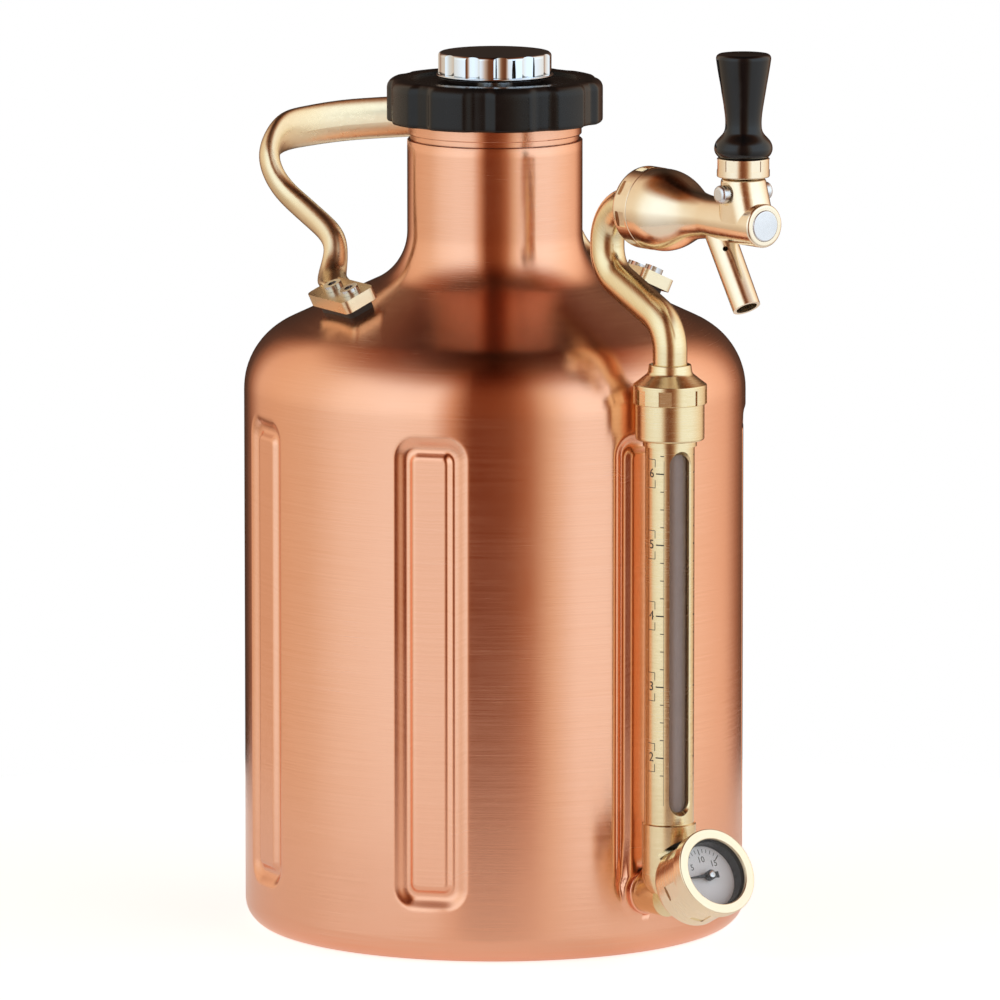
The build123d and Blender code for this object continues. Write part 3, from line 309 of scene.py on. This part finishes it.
# ---- materials ---------------------------------------------------------------------
GAUGE_TILT = math.radians(27)
MATERIALS = {
    "copper_plate": brushed_round("copper_plate", (0.93, 0.51, 0.34), (0.88, 0.45, 0.28), 0.22, 0.90,
                                  along=2.2, across=3000.0, grain=0.05, bump=0.8),
    "copper_ring": satin_metal("copper_ring", (0.93, 0.50, 0.34), (0.88, 0.44, 0.29), 0.18),
    "bare_steel": satin_metal("bare_steel", (0.62, 0.62, 0.62), (0.52, 0.52, 0.52), 0.30),
    "brass_fitting": brushed_round("brass_fitting", (0.88, 0.73, 0.46), (0.80, 0.64, 0.37), 0.24, 0.45,
                                   offset=(0, TUBE_Y, 0), along=1.6, across=2200.0, grain=0.05, bump=0.2),
    "brass_gauge": brushed_round("brass_gauge", (0.91, 0.79, 0.59), (0.86, 0.72, 0.49), 0.24, 0.45,
                                 offset=(0, -0.1251, 0.0352), turn=(math.pi / 2 - GAUGE_TILT, 0, 0),
                                 along=1.6, across=2200.0, grain=0.05, bump=0.2),
    "brass_tap": satin_metal("brass_tap", (0.94, 0.81, 0.62), (0.90, 0.75, 0.54), 0.19,
                             grain=0.04, bump=0.05),
    "brass_strap": satin_metal("brass_strap", (0.90, 0.77, 0.54), (0.86, 0.72, 0.48), 0.30,
                               stretch=(30, 30, 90), grain=0.04, bump=0.06),
    "steel_screws": satin_metal("steel_screws", (0.72, 0.72, 0.73), (0.6, 0.6, 0.61), 0.16),
    "pin_steel": satin_metal("pin_steel", (0.78, 0.78, 0.79), (0.66, 0.66, 0.67), 0.26, grain=0.08, bump=0.3),
    "cartridge_steel": satin_metal("cartridge_steel", (0.6, 0.61, 0.62), (0.5, 0.51, 0.52), 0.35),
    "spring_steel": satin_metal("spring_steel", (0.6, 0.6, 0.61), (0.5, 0.5, 0.51), 0.3),
    "chrome_knob": satin_metal("chrome_knob", (0.80, 0.87, 0.94), (0.77, 0.84, 0.91), 0.04,
                               grain=0.015, bump=0.02),
    "black_cap": plastic("black_cap", (0.006, 0.0055, 0.0055), (0.011, 0.010, 0.009), 0.24, specular=0.32),
    "black_handle": plastic("black_handle", (0.006, 0.006, 0.006), (0.010, 0.009, 0.009), 0.15,
                            coat=0.15, bump=0.04, specular=0.35),
    "sleeve_plastic": plastic("sleeve_plastic", (0.03, 0.03, 0.03), (0.045, 0.045, 0.045), 0.45),
    "dial_black": plastic("dial_black", (0.012, 0.012, 0.012), (0.022, 0.022, 0.022), 0.55),
    "pointer_black": plastic("pointer_black", (0.012, 0.012, 0.012), (0.02, 0.02, 0.02), 0.4),
    "dial_white": plastic("dial_white", (0.93, 0.94, 0.95), (0.97, 0.97, 0.98), 0.5, bump=0.03),
    "seal_rubber": plastic("seal_rubber", (0.02, 0.02, 0.02), (0.035, 0.035, 0.035), 0.6, bump=0.3),
    "foot_rubber": plastic("foot_rubber", (0.03, 0.026, 0.022), (0.045, 0.04, 0.035), 0.6, bump=0.3),
    "mark_ink": plastic("mark_ink", (0.020, 0.016, 0.012), (0.045, 0.035, 0.025), 0.5),
    "sight_glass": see_through("sight_glass", (0.55, 0.42, 0.37), 0.40, 0.04),
    "gauge_lens": see_through("gauge_lens", (0.9, 0.9, 0.9), 0.03, 0.02),
}


def dress(piece, material_name):
    """Gives a piece one material in its own slot."""
    piece.data.materials.clear()
    piece.data.materials.append(MATERIALS[material_name])
    return piece


def fitted(piece, body, slot, *nodes, material=None):
    """A new piece: it rides a body, takes a slot's finish and stands for CAD nodes."""
    dress(piece, material or slot)
    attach(piece, body)
    if nodes:
        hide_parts(*nodes)
    return piece


# ---- outer shell: one skin with seven stamped panels ---------------------------------
PANELS = 7
WALL = 1.2 * MM
BASE_HOLE_R = 71.0 * MM
PANEL_Z = 98.9 * MM
RECESS_HALF = (13.15 * MM, 80.85 * MM)
RECESS_CORNER = 8.0 * MM
RECESS_SLOPE = 4.6 * MM
RECESS_D = 83.3 * MM
RIB_HALF = (7.9 * MM, 75.4 * MM)
RIB_CORNER = 3.6 * MM
RIB_SLOPE = 2.4 * MM
RIB_RISE = 1.6 * MM
PORT_Z = 22.6 * MM
PORT_BOSS_R = 9.0 * MM
PORT_BOSS_D = 85.9 * MM
PORT_HOLE_R = 6.3 * MM


def inside_distance(u, v, half, corner):
    """Distance inside a rounded rectangle's edge, negative outside it."""
    across = np.abs(u) - half[0] + corner
    up = np.abs(v) - half[1] + corner
    outer = np.hypot(np.maximum(across, 0), np.maximum(up, 0))
    inner = np.minimum(np.maximum(across, up), 0)
    return corner - outer - inner


def stamped_distance(u, z, radius):
    """Distance of the skin from the axis plane at offset u: the stamping of one panel."""
    plain = np.sqrt(np.maximum(radius ** 2 - u ** 2, 0))
    recess = smooth_step(inside_distance(u, z - PANEL_Z, RECESS_HALF, RECESS_CORNER) / RECESS_SLOPE)
    rib = smooth_step(inside_distance(u, z - PANEL_Z, RIB_HALF, RIB_CORNER) / RIB_SLOPE)
    return plain + (RECESS_D - plain) * recess + RIB_RISE * rib


def shell_rows():
    """(radius, height) of each ring of the skin, base hole to neck top."""
    profile = sampled([
        (BASE_HOLE_R, 0, 0),
        (BODY_R, 0, 9.0 * MM),
        (BODY_R, 200.9 * MM, 25.0 * MM),
        (29.9 * MM, 227.1 * MM, 19.0 * MM),
        (29.9 * MM, NECK_TOP - 0.3 * MM, 0),
        (29.6 * MM, NECK_TOP, 0),
    ], turn_step=4.0)
    profile = with_runs(profile, 3.5 * MM)
    fine = 0.7 * MM
    low_zone = np.arange(PANEL_Z - RECESS_HALF[1] - 1 * MM, PANEL_Z - RIB_HALF[1] + 5 * MM, fine)
    high_zone = np.arange(PANEL_Z + RIB_HALF[1] - 5 * MM, PANEL_Z + RECESS_HALF[1] + 1 * MM, fine)
    middle = np.linspace(low_zone[-1], high_zone[0], 22)[1:-1]
    below = [p for p in profile if p.y < low_zone[0] - fine]
    above = [p for p in profile if p.y > high_zone[-1] + fine]
    wall = [Vector((BODY_R, z)) for z in np.concatenate([low_zone, middle, high_zone])]
    return below + wall + above


def shell_columns():
    """Angles of the skin's columns, close together across each panel."""
    sector = 2 * math.pi / PANELS
    half = (RECESS_HALF[0] + 1.2 * MM) / BODY_R
    across = np.linspace(-half, half, 49)
    between = np.linspace(half, sector - half, 14)[1:-1]
    one = np.concatenate([across, between])
    return np.concatenate([one + sector * index for index in range(PANELS)])


def build_shell():
    rows = shell_rows()
    columns = shell_columns()
    sector = 2 * math.pi / PANELS
    local = (columns + sector / 2) % sector - sector / 2
    radius = np.array([p.x for p in rows])[:, None]
    height = np.array([p.y for p in rows])[:, None]
    reach = radius * np.ones_like(columns)[None, :]
    for _ in range(6):
        distance = stamped_distance(reach * np.sin(local), height, radius)
        reach = np.where(np.abs(radius - BODY_R) < 1e-6, distance / np.cos(local), reach)
    port_u = reach * np.sin(columns)
    from_port = np.hypot(port_u, height - PORT_Z)
    boss = (1 - smooth_step((from_port - PORT_BOSS_R) / (1.2 * MM))) * (np.cos(columns) > 0)
    reach = reach + (PORT_BOSS_D / np.cos(columns) - reach) * boss
    x = reach * np.sin(columns)
    y = -reach * np.cos(columns)
    z = height * np.ones_like(columns)[None, :]
    verts = np.stack([x, y, z], axis=-1).reshape(-1, 3)
    mesh = mesh_from("vessel_shell", verts, ring_faces(len(rows), len(columns)))
    work = bmesh.new()
    work.from_mesh(mesh)
    in_port = [f for f in work.faces
               if math.hypot(f.calc_center_median().x, f.calc_center_median().z - PORT_Z) < PORT_HOLE_R
               and f.calc_center_median().y < 0]
    bmesh.ops.delete(work, geom=in_port, context="FACES")
    for vert in work.verts:
        off = Vector((vert.co.x, vert.co.z - PORT_Z))
        if vert.is_boundary and vert.co.y < -0.07 and off.length < 2 * PORT_HOLE_R and vert.co.z > 0.01:
            off = off.normalized() * PORT_HOLE_R
            vert.co.x = off.x
            vert.co.z = PORT_Z + off.y
    work.to_mesh(mesh)
    work.free()
    shell = add_object("vessel_shell", mesh)
    wall = shell.modifiers.new("wall", "SOLIDIFY")
    wall.thickness = WALL
    wall.offset = -1.0
    wall.use_even_offset = True
    applied(shell)
    shell.data.shade_smooth()
    fitted(shell, "vessel", "copper_plate", "outer_shell")


build_shell()


# ---- CAD nodes that keep their own shape -----------------------------------------------
KEPT = {
    "base_plate": "copper_plate",
    "mouth_ring": "copper_plate",
    "vacuum_button": "bare_steel",
    "inner_vessel": "bare_steel",
    "port_fitting": "bare_steel",
    "port_seals": "seal_rubber",
    "port_trim": "copper_ring",
    "lower_manifold": "brass_fitting",
    "sight_tube": "brass_fitting",
    "sight_glass": "sight_glass",
    "glass_seals": "seal_rubber",
    "union_seal": "seal_rubber",
    "union_nut": "brass_fitting",
    "gooseneck": "brass_fitting",
    "shank_seal": "seal_rubber",
    "shank_nut": "brass_tap",
    "tap_body": "brass_tap",
    "pivot_pin": "pin_steel",
    "front_plug": "pin_steel",
    "valve_shaft": "bare_steel",
    "valve_washer": "seal_rubber",
    "tap_lever": "bare_steel",
    "lever_collar": "brass_tap",
    "tap_handle": "black_handle",
    "gauge_case": "brass_gauge",
    "gauge_bezel": "brass_gauge",
    "gauge_lens": "gauge_lens",
    "gauge_ring": "dial_black",
    "gauge_dial": "dial_white",
    "bourdon_tube": "brass_fitting",
    "gauge_pointer": "pointer_black",
    "handle_bar": "brass_strap",
    "handle_pads": "foot_rubber",
    "handle_screws": "steel_screws",
    "cap_gasket": "seal_rubber",
    "regulator_body": "bare_steel",
    "diaphragm": "seal_rubber",
    "relief_valve": "bare_steel",
    "pierce_pin": "bare_steel",
    "cartridge_sleeve": "sleeve_plastic",
    "gas_cartridge": "cartridge_steel",
    "pressure_knob": "chrome_knob",
    "spring_follower": "bare_steel",
    "regulator_spring": "spring_steel",
}
for node_name, material_name in KEPT.items():
    dress(NODES[node_name], material_name)

# ---- printed marks --------------------------------------------------------------------------
def text_part(words, size, thickness):
    """Flat lettering as (verts, faces) round the origin, its face at z = thickness."""
    curve = bpy.data.curves.new("words", "FONT")
    curve.body = words
    curve.size = size
    curve.align_x = "CENTER"
    curve.align_y = "CENTER"
    curve.extrude = thickness / 2
    curve.resolution_u = 4
    holder = bpy.data.objects.new("words", curve)
    bpy.context.scene.collection.objects.link(holder)
    graph = bpy.context.evaluated_depsgraph_get()
    mesh = bpy.data.meshes.new_from_object(holder.evaluated_get(graph))
    verts = [(v.co.x, v.co.y, v.co.z + thickness / 2) for v in mesh.vertices]
    faces = [tuple(p.vertices) for p in mesh.polygons]
    bpy.data.objects.remove(holder)
    bpy.data.curves.remove(curve)
    bpy.data.meshes.remove(mesh)
    return verts, faces


def bar_part(u0, u1, v0, v1, thickness, cuts=3):
    """A flat bar as a closed box, cut across so that it can be wrapped round a tube."""
    verts = []
    for index in range(cuts + 1):
        u = u0 + (u1 - u0) * index / cuts
        verts += [(u, v0, 0), (u, v1, 0), (u, v1, thickness), (u, v0, thickness)]
    faces = [(3, 2, 1, 0), tuple(4 * cuts + k for k in range(4))]
    for index in range(cuts):
        here = 4 * index
        for k in range(4):
            following = (k + 1) % 4
            faces.append((here + k, here + following, here + 4 + following, here + 4 + k))
    return verts, faces


def joined(parts, place):
    """Parts put together, each vertex moved by place(u, v, w)."""
    verts = []
    faces = []
    for part_verts, part_faces in parts:
        base = len(verts)
        verts += [place(*v) for v in part_verts]
        faces += [tuple(base + i for i in face) for face in part_faces]
    return verts, faces


def shifted(part, du, dv):
    verts, faces = part
    return [(u + du, v + dv, w) for u, v, w in verts], faces


MARK_T = 0.05 * MM
SLOT_TURN = math.radians(-9.0)
SCALE_ZERO_Z = 23.0 * MM
SCALE_STEP = 24.1 * MM
# Arc lengths below are measured from the slot's middle, to the left of it when negative.
LINE_HALF = 0.14 * MM
FRAME_HALF = 0.10 * MM
LEFT_EDGE = -6.1 * MM
LEFT_REACH = (2.9 * MM, 1.3 * MM)
RIGHT_START = 6.2 * MM
RIGHT_END = (7.4 * MM, 6.9 * MM)
NUMBER_U = -10.9 * MM
NUMBER_SIZE = 4.4 * MM
FRAME_SIDES = (-12.3 * MM, -9.4 * MM)
FRAME_REACH = 4.8 * MM
FRAME_GAP = 2.2 * MM
EDGE_LINE_Z = (55.0 * MM, 172.0 * MM)


def on_tube(u, v, w):
    """Arc length u from the slot's middle, height v and lift w, on the sight tube."""
    reach = TUBE_R - 0.01 * MM + w
    turn = SLOT_TURN + u / TUBE_R
    return (reach * math.sin(turn), TUBE_Y - reach * math.cos(turn), v)


def build_tube_scale():
    """Quarter lines, numbers and thin number frames beside the slot of the sight tube."""
    parts = []
    for quarter in range(-1, 18):
        z = SCALE_ZERO_Z + SCALE_STEP * (2 + quarter / 4)
        whole = quarter % 4 == 0
        kind = 0 if whole else 1
        thick = 1.5 * LINE_HALF if whole else LINE_HALF
        parts.append(bar_part(LEFT_EDGE - LEFT_REACH[kind], LEFT_EDGE, z - thick, z + thick, MARK_T))
        parts.append(bar_part(RIGHT_START, RIGHT_END[kind], z - thick, z + thick, MARK_T))
        if whole:
            number = text_part(str(2 + quarter // 4), NUMBER_SIZE, MARK_T)
            parts.append(shifted(number, NUMBER_U, z))
            low, high = z - FRAME_REACH, z + FRAME_REACH
            left, right = FRAME_SIDES
            inner, outer = right - FRAME_HALF, right + FRAME_HALF
            parts.append(bar_part(inner, outer, low, z - FRAME_GAP, MARK_T, 1))
            parts.append(bar_part(inner, outer, z + FRAME_GAP, high, MARK_T, 1))
            parts.append(bar_part(left, right, low - FRAME_HALF, low + FRAME_HALF, MARK_T))
            parts.append(bar_part(left, right, high - FRAME_HALF, high + FRAME_HALF, MARK_T))
    parts.append(bar_part(LEFT_EDGE - 0.05 * MM, LEFT_EDGE + 0.05 * MM, *EDGE_LINE_Z, MARK_T, 1))
    verts, faces = joined(parts, on_tube)
    marks = add_object("tube_scale", mesh_from("tube_scale", verts, faces), smooth=False)
    fitted(marks, "vessel", "dial_black", material="mark_ink")


GAUGE_FACING = Vector((0, -math.cos(GAUGE_TILT), math.sin(GAUGE_TILT)))
GAUGE_UP = Vector((0, math.sin(GAUGE_TILT), math.cos(GAUGE_TILT)))
GAUGE_RIGHT = Vector((1, 0, 0))
GAUGE_CENTRE = Vector((0, -125.1, 35.2)) * MM
DIAL_START_DEG = 190
DIAL_SWEEP_DEG = 145
DIAL_UNITS = 15
TICK_INNER = (7.9 * MM, 8.6 * MM)
TICK_OUTER = 9.9 * MM
TICK_HALF = (0.16 * MM, 0.09 * MM)
DIAL_NUMBER_R = 6.2 * MM
# Radius and lift in mm of each ring of the pointer's stud.
STUD_ROWS = [(0.05, 0.0), (1.15, 0.0), (1.25, 0.1), (1.2, 0.45)]
STUD_ROWS += [(0.95, 0.6), (0.5, 0.66), (0.45, 0.5), (0.05, 0.5)]


def build_dial_marks():
    """Tick marks and three numbers over the upper left of the dial."""
    face = max((Vector(v.co) - GAUGE_CENTRE).dot(GAUGE_FACING) for v in NODES["gauge_dial"].data.vertices)
    centre = GAUGE_CENTRE + GAUGE_FACING * (face - 0.01 * MM)
    parts = []
    for unit in range(DIAL_UNITS + 1):
        whole = unit % 5 == 0
        kind = 0 if whole else 1
        angle = math.radians(DIAL_START_DEG - unit * DIAL_SWEEP_DEG / DIAL_UNITS)
        half = TICK_HALF[kind]
        verts, faces = bar_part(TICK_INNER[kind], TICK_OUTER, -half, half, MARK_T, 1)
        cos, sin = math.cos(angle), math.sin(angle)
        parts.append(([(u * cos - v * sin, u * sin + v * cos, w) for u, v, w in verts], faces))
        if whole and unit:
            number = text_part(str(unit), 3.0 * MM, MARK_T)
            parts.append(shifted(number, DIAL_NUMBER_R * cos, DIAL_NUMBER_R * sin))

    def on_dial(u, v, w):
        return centre + GAUGE_RIGHT * u + GAUGE_UP * v + GAUGE_FACING * w

    verts, faces = joined(parts, on_dial)
    marks = add_object("dial_marks", mesh_from("dial_marks", verts, faces), smooth=False)
    fitted(marks, "vessel", "dial_black", material="mark_ink")


def build_pointer_hub():
    """The bright stud that holds the pointer."""
    front = max((Vector(v.co) - GAUGE_CENTRE).dot(GAUGE_FACING) for v in NODES["gauge_pointer"].data.vertices)
    centre = GAUGE_CENTRE + GAUGE_FACING * (front - 0.05 * MM)
    columns = 32
    verts = []
    for reach, lift in STUD_ROWS:
        for index in range(columns):
            angle = 2 * math.pi * index / columns
            outward = GAUGE_RIGHT * math.cos(angle) + GAUGE_UP * math.sin(angle)
            verts.append(centre + outward * (reach * MM) + GAUGE_FACING * (lift * MM))
    faces = ring_faces(len(STUD_ROWS), columns, close_rows=True)
    hub = add_object("pointer_hub", mesh_from("pointer_hub", verts, faces))
    hub.data.set_sharp_from_angle(angle=math.radians(40))
    fitted(hub, "pointer", "pin_steel")


build_tube_scale()
build_dial_marks()
build_pointer_hub()


# ---- ten-lobed cap -----------------------------------------------------------------------------
CAP_LOBES = 10
CAP_LOBE_START = math.radians(9)
CAP_HOLLOW = 1.5 * MM
CAP_EDGE = 3.4 * MM
CAP_FOOT = 1.2 * MM
CAP_BORE_R = 31.7 * MM
CAP_WEB_Z = 287.6 * MM
CAP_DISH_R = 16.0 * MM
CAP_STEP_R = 29.0 * MM
CAP_RIM_R = 32.2 * MM
CAP_STEP_DEPTH = 1.2 * MM
HOLLOW_FLAT = 1.8 * MM
HOLLOW_RAMP = 4.2 * MM


def build_cap():
    """The cap with soft hollows between its lobes and rounded upper and lower edges."""
    low, high = cap_low.z, cap_high.z
    columns = 400
    angles = np.linspace(0, 2 * math.pi, columns, endpoint=False)
    beside = np.abs((angles - CAP_LOBE_START + math.pi / CAP_LOBES) % (2 * math.pi / CAP_LOBES)
                    - math.pi / CAP_LOBES) * CAP_R
    hollow = 1 - smooth_step((beside - HOLLOW_FLAT) / HOLLOW_RAMP)
    rows = [(CAP_BORE_R, low, 0.0)]
    for step in range(6):
        turn = math.pi / 2 * step / 5
        rows.append((CAP_R - CAP_FOOT * (1 - math.sin(turn)), low + CAP_FOOT * (1 - math.cos(turn)), 1.0))
    for share in np.linspace(0.12, 0.72, 8):
        rows.append((CAP_R, low + (high - low) * share, 1.0))
    for step in range(11):
        turn = math.pi / 2 * step / 10
        inset = CAP_EDGE * (1 - math.cos(turn))
        drop = CAP_EDGE * (1 - math.sin(turn))
        rows.append((CAP_R - inset, high - drop, 1 - 0.35 * step / 10))
    rows += [(CAP_RIM_R, high, 0.0), (CAP_STEP_R + 0.5 * MM, high, 0.0), (CAP_STEP_R, high - 0.3 * MM, 0.0)]
    rows += [(CAP_STEP_R, high - CAP_STEP_DEPTH, 0.0), (CAP_DISH_R, high - CAP_STEP_DEPTH, 0.0)]
    rows += [(CAP_DISH_R, CAP_WEB_Z, 0.0), (CAP_BORE_R, CAP_WEB_Z, 0.0)]
    verts = []
    for reach, z, depth in rows:
        edge = reach - CAP_HOLLOW * depth * hollow
        verts += [(r * math.cos(a), r * math.sin(a), z) for r, a in zip(edge, angles)]
    faces = ring_faces(len(rows), columns, close_rows=True)
    cap = add_object("lobed_cap", mesh_from("lobed_cap", verts, faces))
    cap.data.set_sharp_from_angle(angle=math.radians(50))
    fitted(cap, "cap", "black_cap", "cap_shell")


build_cap()


# ---- floor, light and camera --------------------------------------------------------------
VIEW_TURN = math.radians(-36.6)
VIEW_DISTANCE = 4.028
VIEW_HEIGHT = 0.7456
AIM_HEIGHT = 0.146
AIM_SIDE = 0.00175
FLOOR_R = 0.34
FLOOR_Z = -0.2 * MM


def build_floor():
    """A pale round table top under the growler."""
    steps = 96
    angles = [2 * math.pi * index / steps for index in range(steps)]
    ring = [(FLOOR_R * math.cos(a), FLOOR_R * math.sin(a), FLOOR_Z) for a in angles]
    floor = add_object("floor", mesh_from("floor", ring, [tuple(range(steps))]), smooth=False)
    nodes = Nodes("studio_floor")
    nodes.set(Base_Color=(0.86, 0.86, 0.85, 1), Roughness=0.9, Specular_IOR_Level=0.0,
              Emission_Color=(1.0, 0.998, 0.992, 1))
    seen = nodes.add("ShaderNodeLightPath").outputs["Is Camera Ray"]
    nodes.link(nodes.ramp(seen, 0.34, 0.72), nodes.shader.inputs["Emission Strength"])
    floor.data.materials.append(nodes.material)


# Brightness round the studio at table height: (degrees from the front light gap, red, green, blue).
STUDIO_ROUND = [
    (-180, 0.03, 0.02, 0.015),
    (-160, 0.09, 0.05, 0.035),
    (-150, 0.34, 0.18, 0.11),
    (-138, 0.72, 0.56, 0.42),
    (-118, 0.76, 0.64, 0.50),
    (-94, 0.80, 0.74, 0.64),
    (-74, 0.94, 1.00, 1.02),
    (-50, 1.00, 1.13, 1.24),
    (-30, 0.98, 1.08, 1.16),
    (-20, 0.62, 0.42, 0.30),
    (-13, 0.22, 0.08, 0.035),
    (-8, 0.17, 0.05, 0.02),
    (6, 0.22, 0.08, 0.035),
    (16, 0.40, 0.20, 0.11),
    (26, 0.80, 0.72, 0.60),
    (38, 1.04, 1.18, 1.30),
    (76, 1.04, 1.18, 1.30),
    (108, 0.98, 0.96, 0.90),
    (132, 0.86, 0.70, 0.56),
    (146, 0.40, 0.22, 0.14),
    (158, 0.11, 0.06, 0.04),
    (180, 0.03, 0.02, 0.015),
]


# Tint of the studio from below (0) over the table's height (0.5) to overhead (1).
STUDIO_RISE = [
    (0.40, (0.80, 0.74, 0.70)),
    (0.50, (1, 1, 1)),
    (0.80, (1, 1, 1)),
    (0.91, (0.36, 0.14, 0.06)),
]


def build_studio():
    """A white room for the camera, with soft walls of light and a dark ceiling for the rest."""
    world = bpy.data.worlds.new("studio")
    bpy.context.scene.world = world
    world.use_nodes = True
    tree = world.node_tree
    tree.nodes.clear()

    def add(kind, **settings):
        node = tree.nodes.new(kind)
        for key, value in settings.items():
            setattr(node, key, value)
        return node

    turned_to = add("ShaderNodeMapping", vector_type="POINT")
    turned_to.inputs["Rotation"].default_value = (0, 0, -VIEW_TURN)
    tree.links.new(add("ShaderNodeTexCoord").outputs["Generated"], turned_to.inputs["Vector"])
    split = add("ShaderNodeSeparateXYZ")
    tree.links.new(turned_to.outputs[0], split.inputs[0])
    front = add("ShaderNodeMath", operation="MULTIPLY")
    tree.links.new(split.outputs["Y"], front.inputs[0])
    front.inputs[1].default_value = -1.0
    angle = add("ShaderNodeMath", operation="ARCTAN2")
    tree.links.new(split.outputs["X"], angle.inputs[0])
    tree.links.new(front.outputs[0], angle.inputs[1])
    place = add("ShaderNodeMapRange")
    place.inputs["From Min"].default_value = -math.pi
    place.inputs["From Max"].default_value = math.pi
    tree.links.new(angle.outputs[0], place.inputs["Value"])
    around = add("ShaderNodeValToRGB")
    stops = around.color_ramp.elements
    while len(stops) > 1:
        stops.remove(stops[-1])
    for index, (degrees, red, green, blue) in enumerate(STUDIO_ROUND):
        spot = (degrees + 180) / 360
        stop = stops[0] if index == 0 else stops.new(spot)
        stop.position = spot
        stop.color = (red / 2, green / 2, blue / 2, 1)
    tree.links.new(place.outputs["Result"], around.inputs["Fac"])
    rise = add("ShaderNodeMapRange")
    rise.inputs["From Min"].default_value = -1.0
    tree.links.new(split.outputs["Z"], rise.inputs["Value"])
    upward = add("ShaderNodeValToRGB")
    levels = upward.color_ramp.elements
    levels[0].position = 0.0
    levels[0].color = (0.25, 0.20, 0.18, 1)
    levels[1].position = 0.985
    levels[1].color = (0.06, 0.02, 0.01, 1)
    for place_up, shade in STUDIO_RISE:
        level = levels.new(place_up)
        level.color = (*shade, 1)
    tree.links.new(rise.outputs["Result"], upward.inputs["Fac"])
    product = add("ShaderNodeMix", data_type="RGBA", blend_type="MULTIPLY")
    product.inputs["Factor"].default_value = 1.0
    tree.links.new(around.outputs["Color"], product.inputs["A"])
    tree.links.new(upward.outputs["Color"], product.inputs["B"])
    room = add("ShaderNodeBackground")
    room.inputs["Strength"].default_value = 2.35
    tree.links.new(product.outputs["Result"], room.inputs["Color"])
    white = add("ShaderNodeBackground")
    white.inputs["Color"].default_value = (1, 1, 1, 1)
    white.inputs["Strength"].default_value = 1.0
    pick = add("ShaderNodeMixShader")
    tree.links.new(add("ShaderNodeLightPath").outputs["Is Camera Ray"], pick.inputs["Fac"])
    tree.links.new(room.outputs[0], pick.inputs[1])
    tree.links.new(white.outputs[0], pick.inputs[2])
    tree.links.new(pick.outputs[0], add("ShaderNodeOutputWorld").inputs["Surface"])


def build_camera():
    data = bpy.data.cameras.new("camera")
    data.sensor_width = 36.0
    data.lens = 428.4
    data.clip_end = 50.0
    camera = bpy.data.objects.new("camera", data)
    bpy.context.scene.collection.objects.link(camera)
    right = Vector((math.cos(VIEW_TURN), math.sin(VIEW_TURN), 0))
    target = right * AIM_SIDE + Vector((0, 0, AIM_HEIGHT))
    place = Vector((math.sin(VIEW_TURN) * VIEW_DISTANCE, -math.cos(VIEW_TURN) * VIEW_DISTANCE, VIEW_HEIGHT))
    camera.location = place
    camera.rotation_euler = (target - place).to_track_quat("-Z", "Y").to_euler()
    bpy.context.scene.camera = camera


build_floor()
build_studio()
build_camera()
bpy.context.scene.view_settings.view_transform = "Standard"
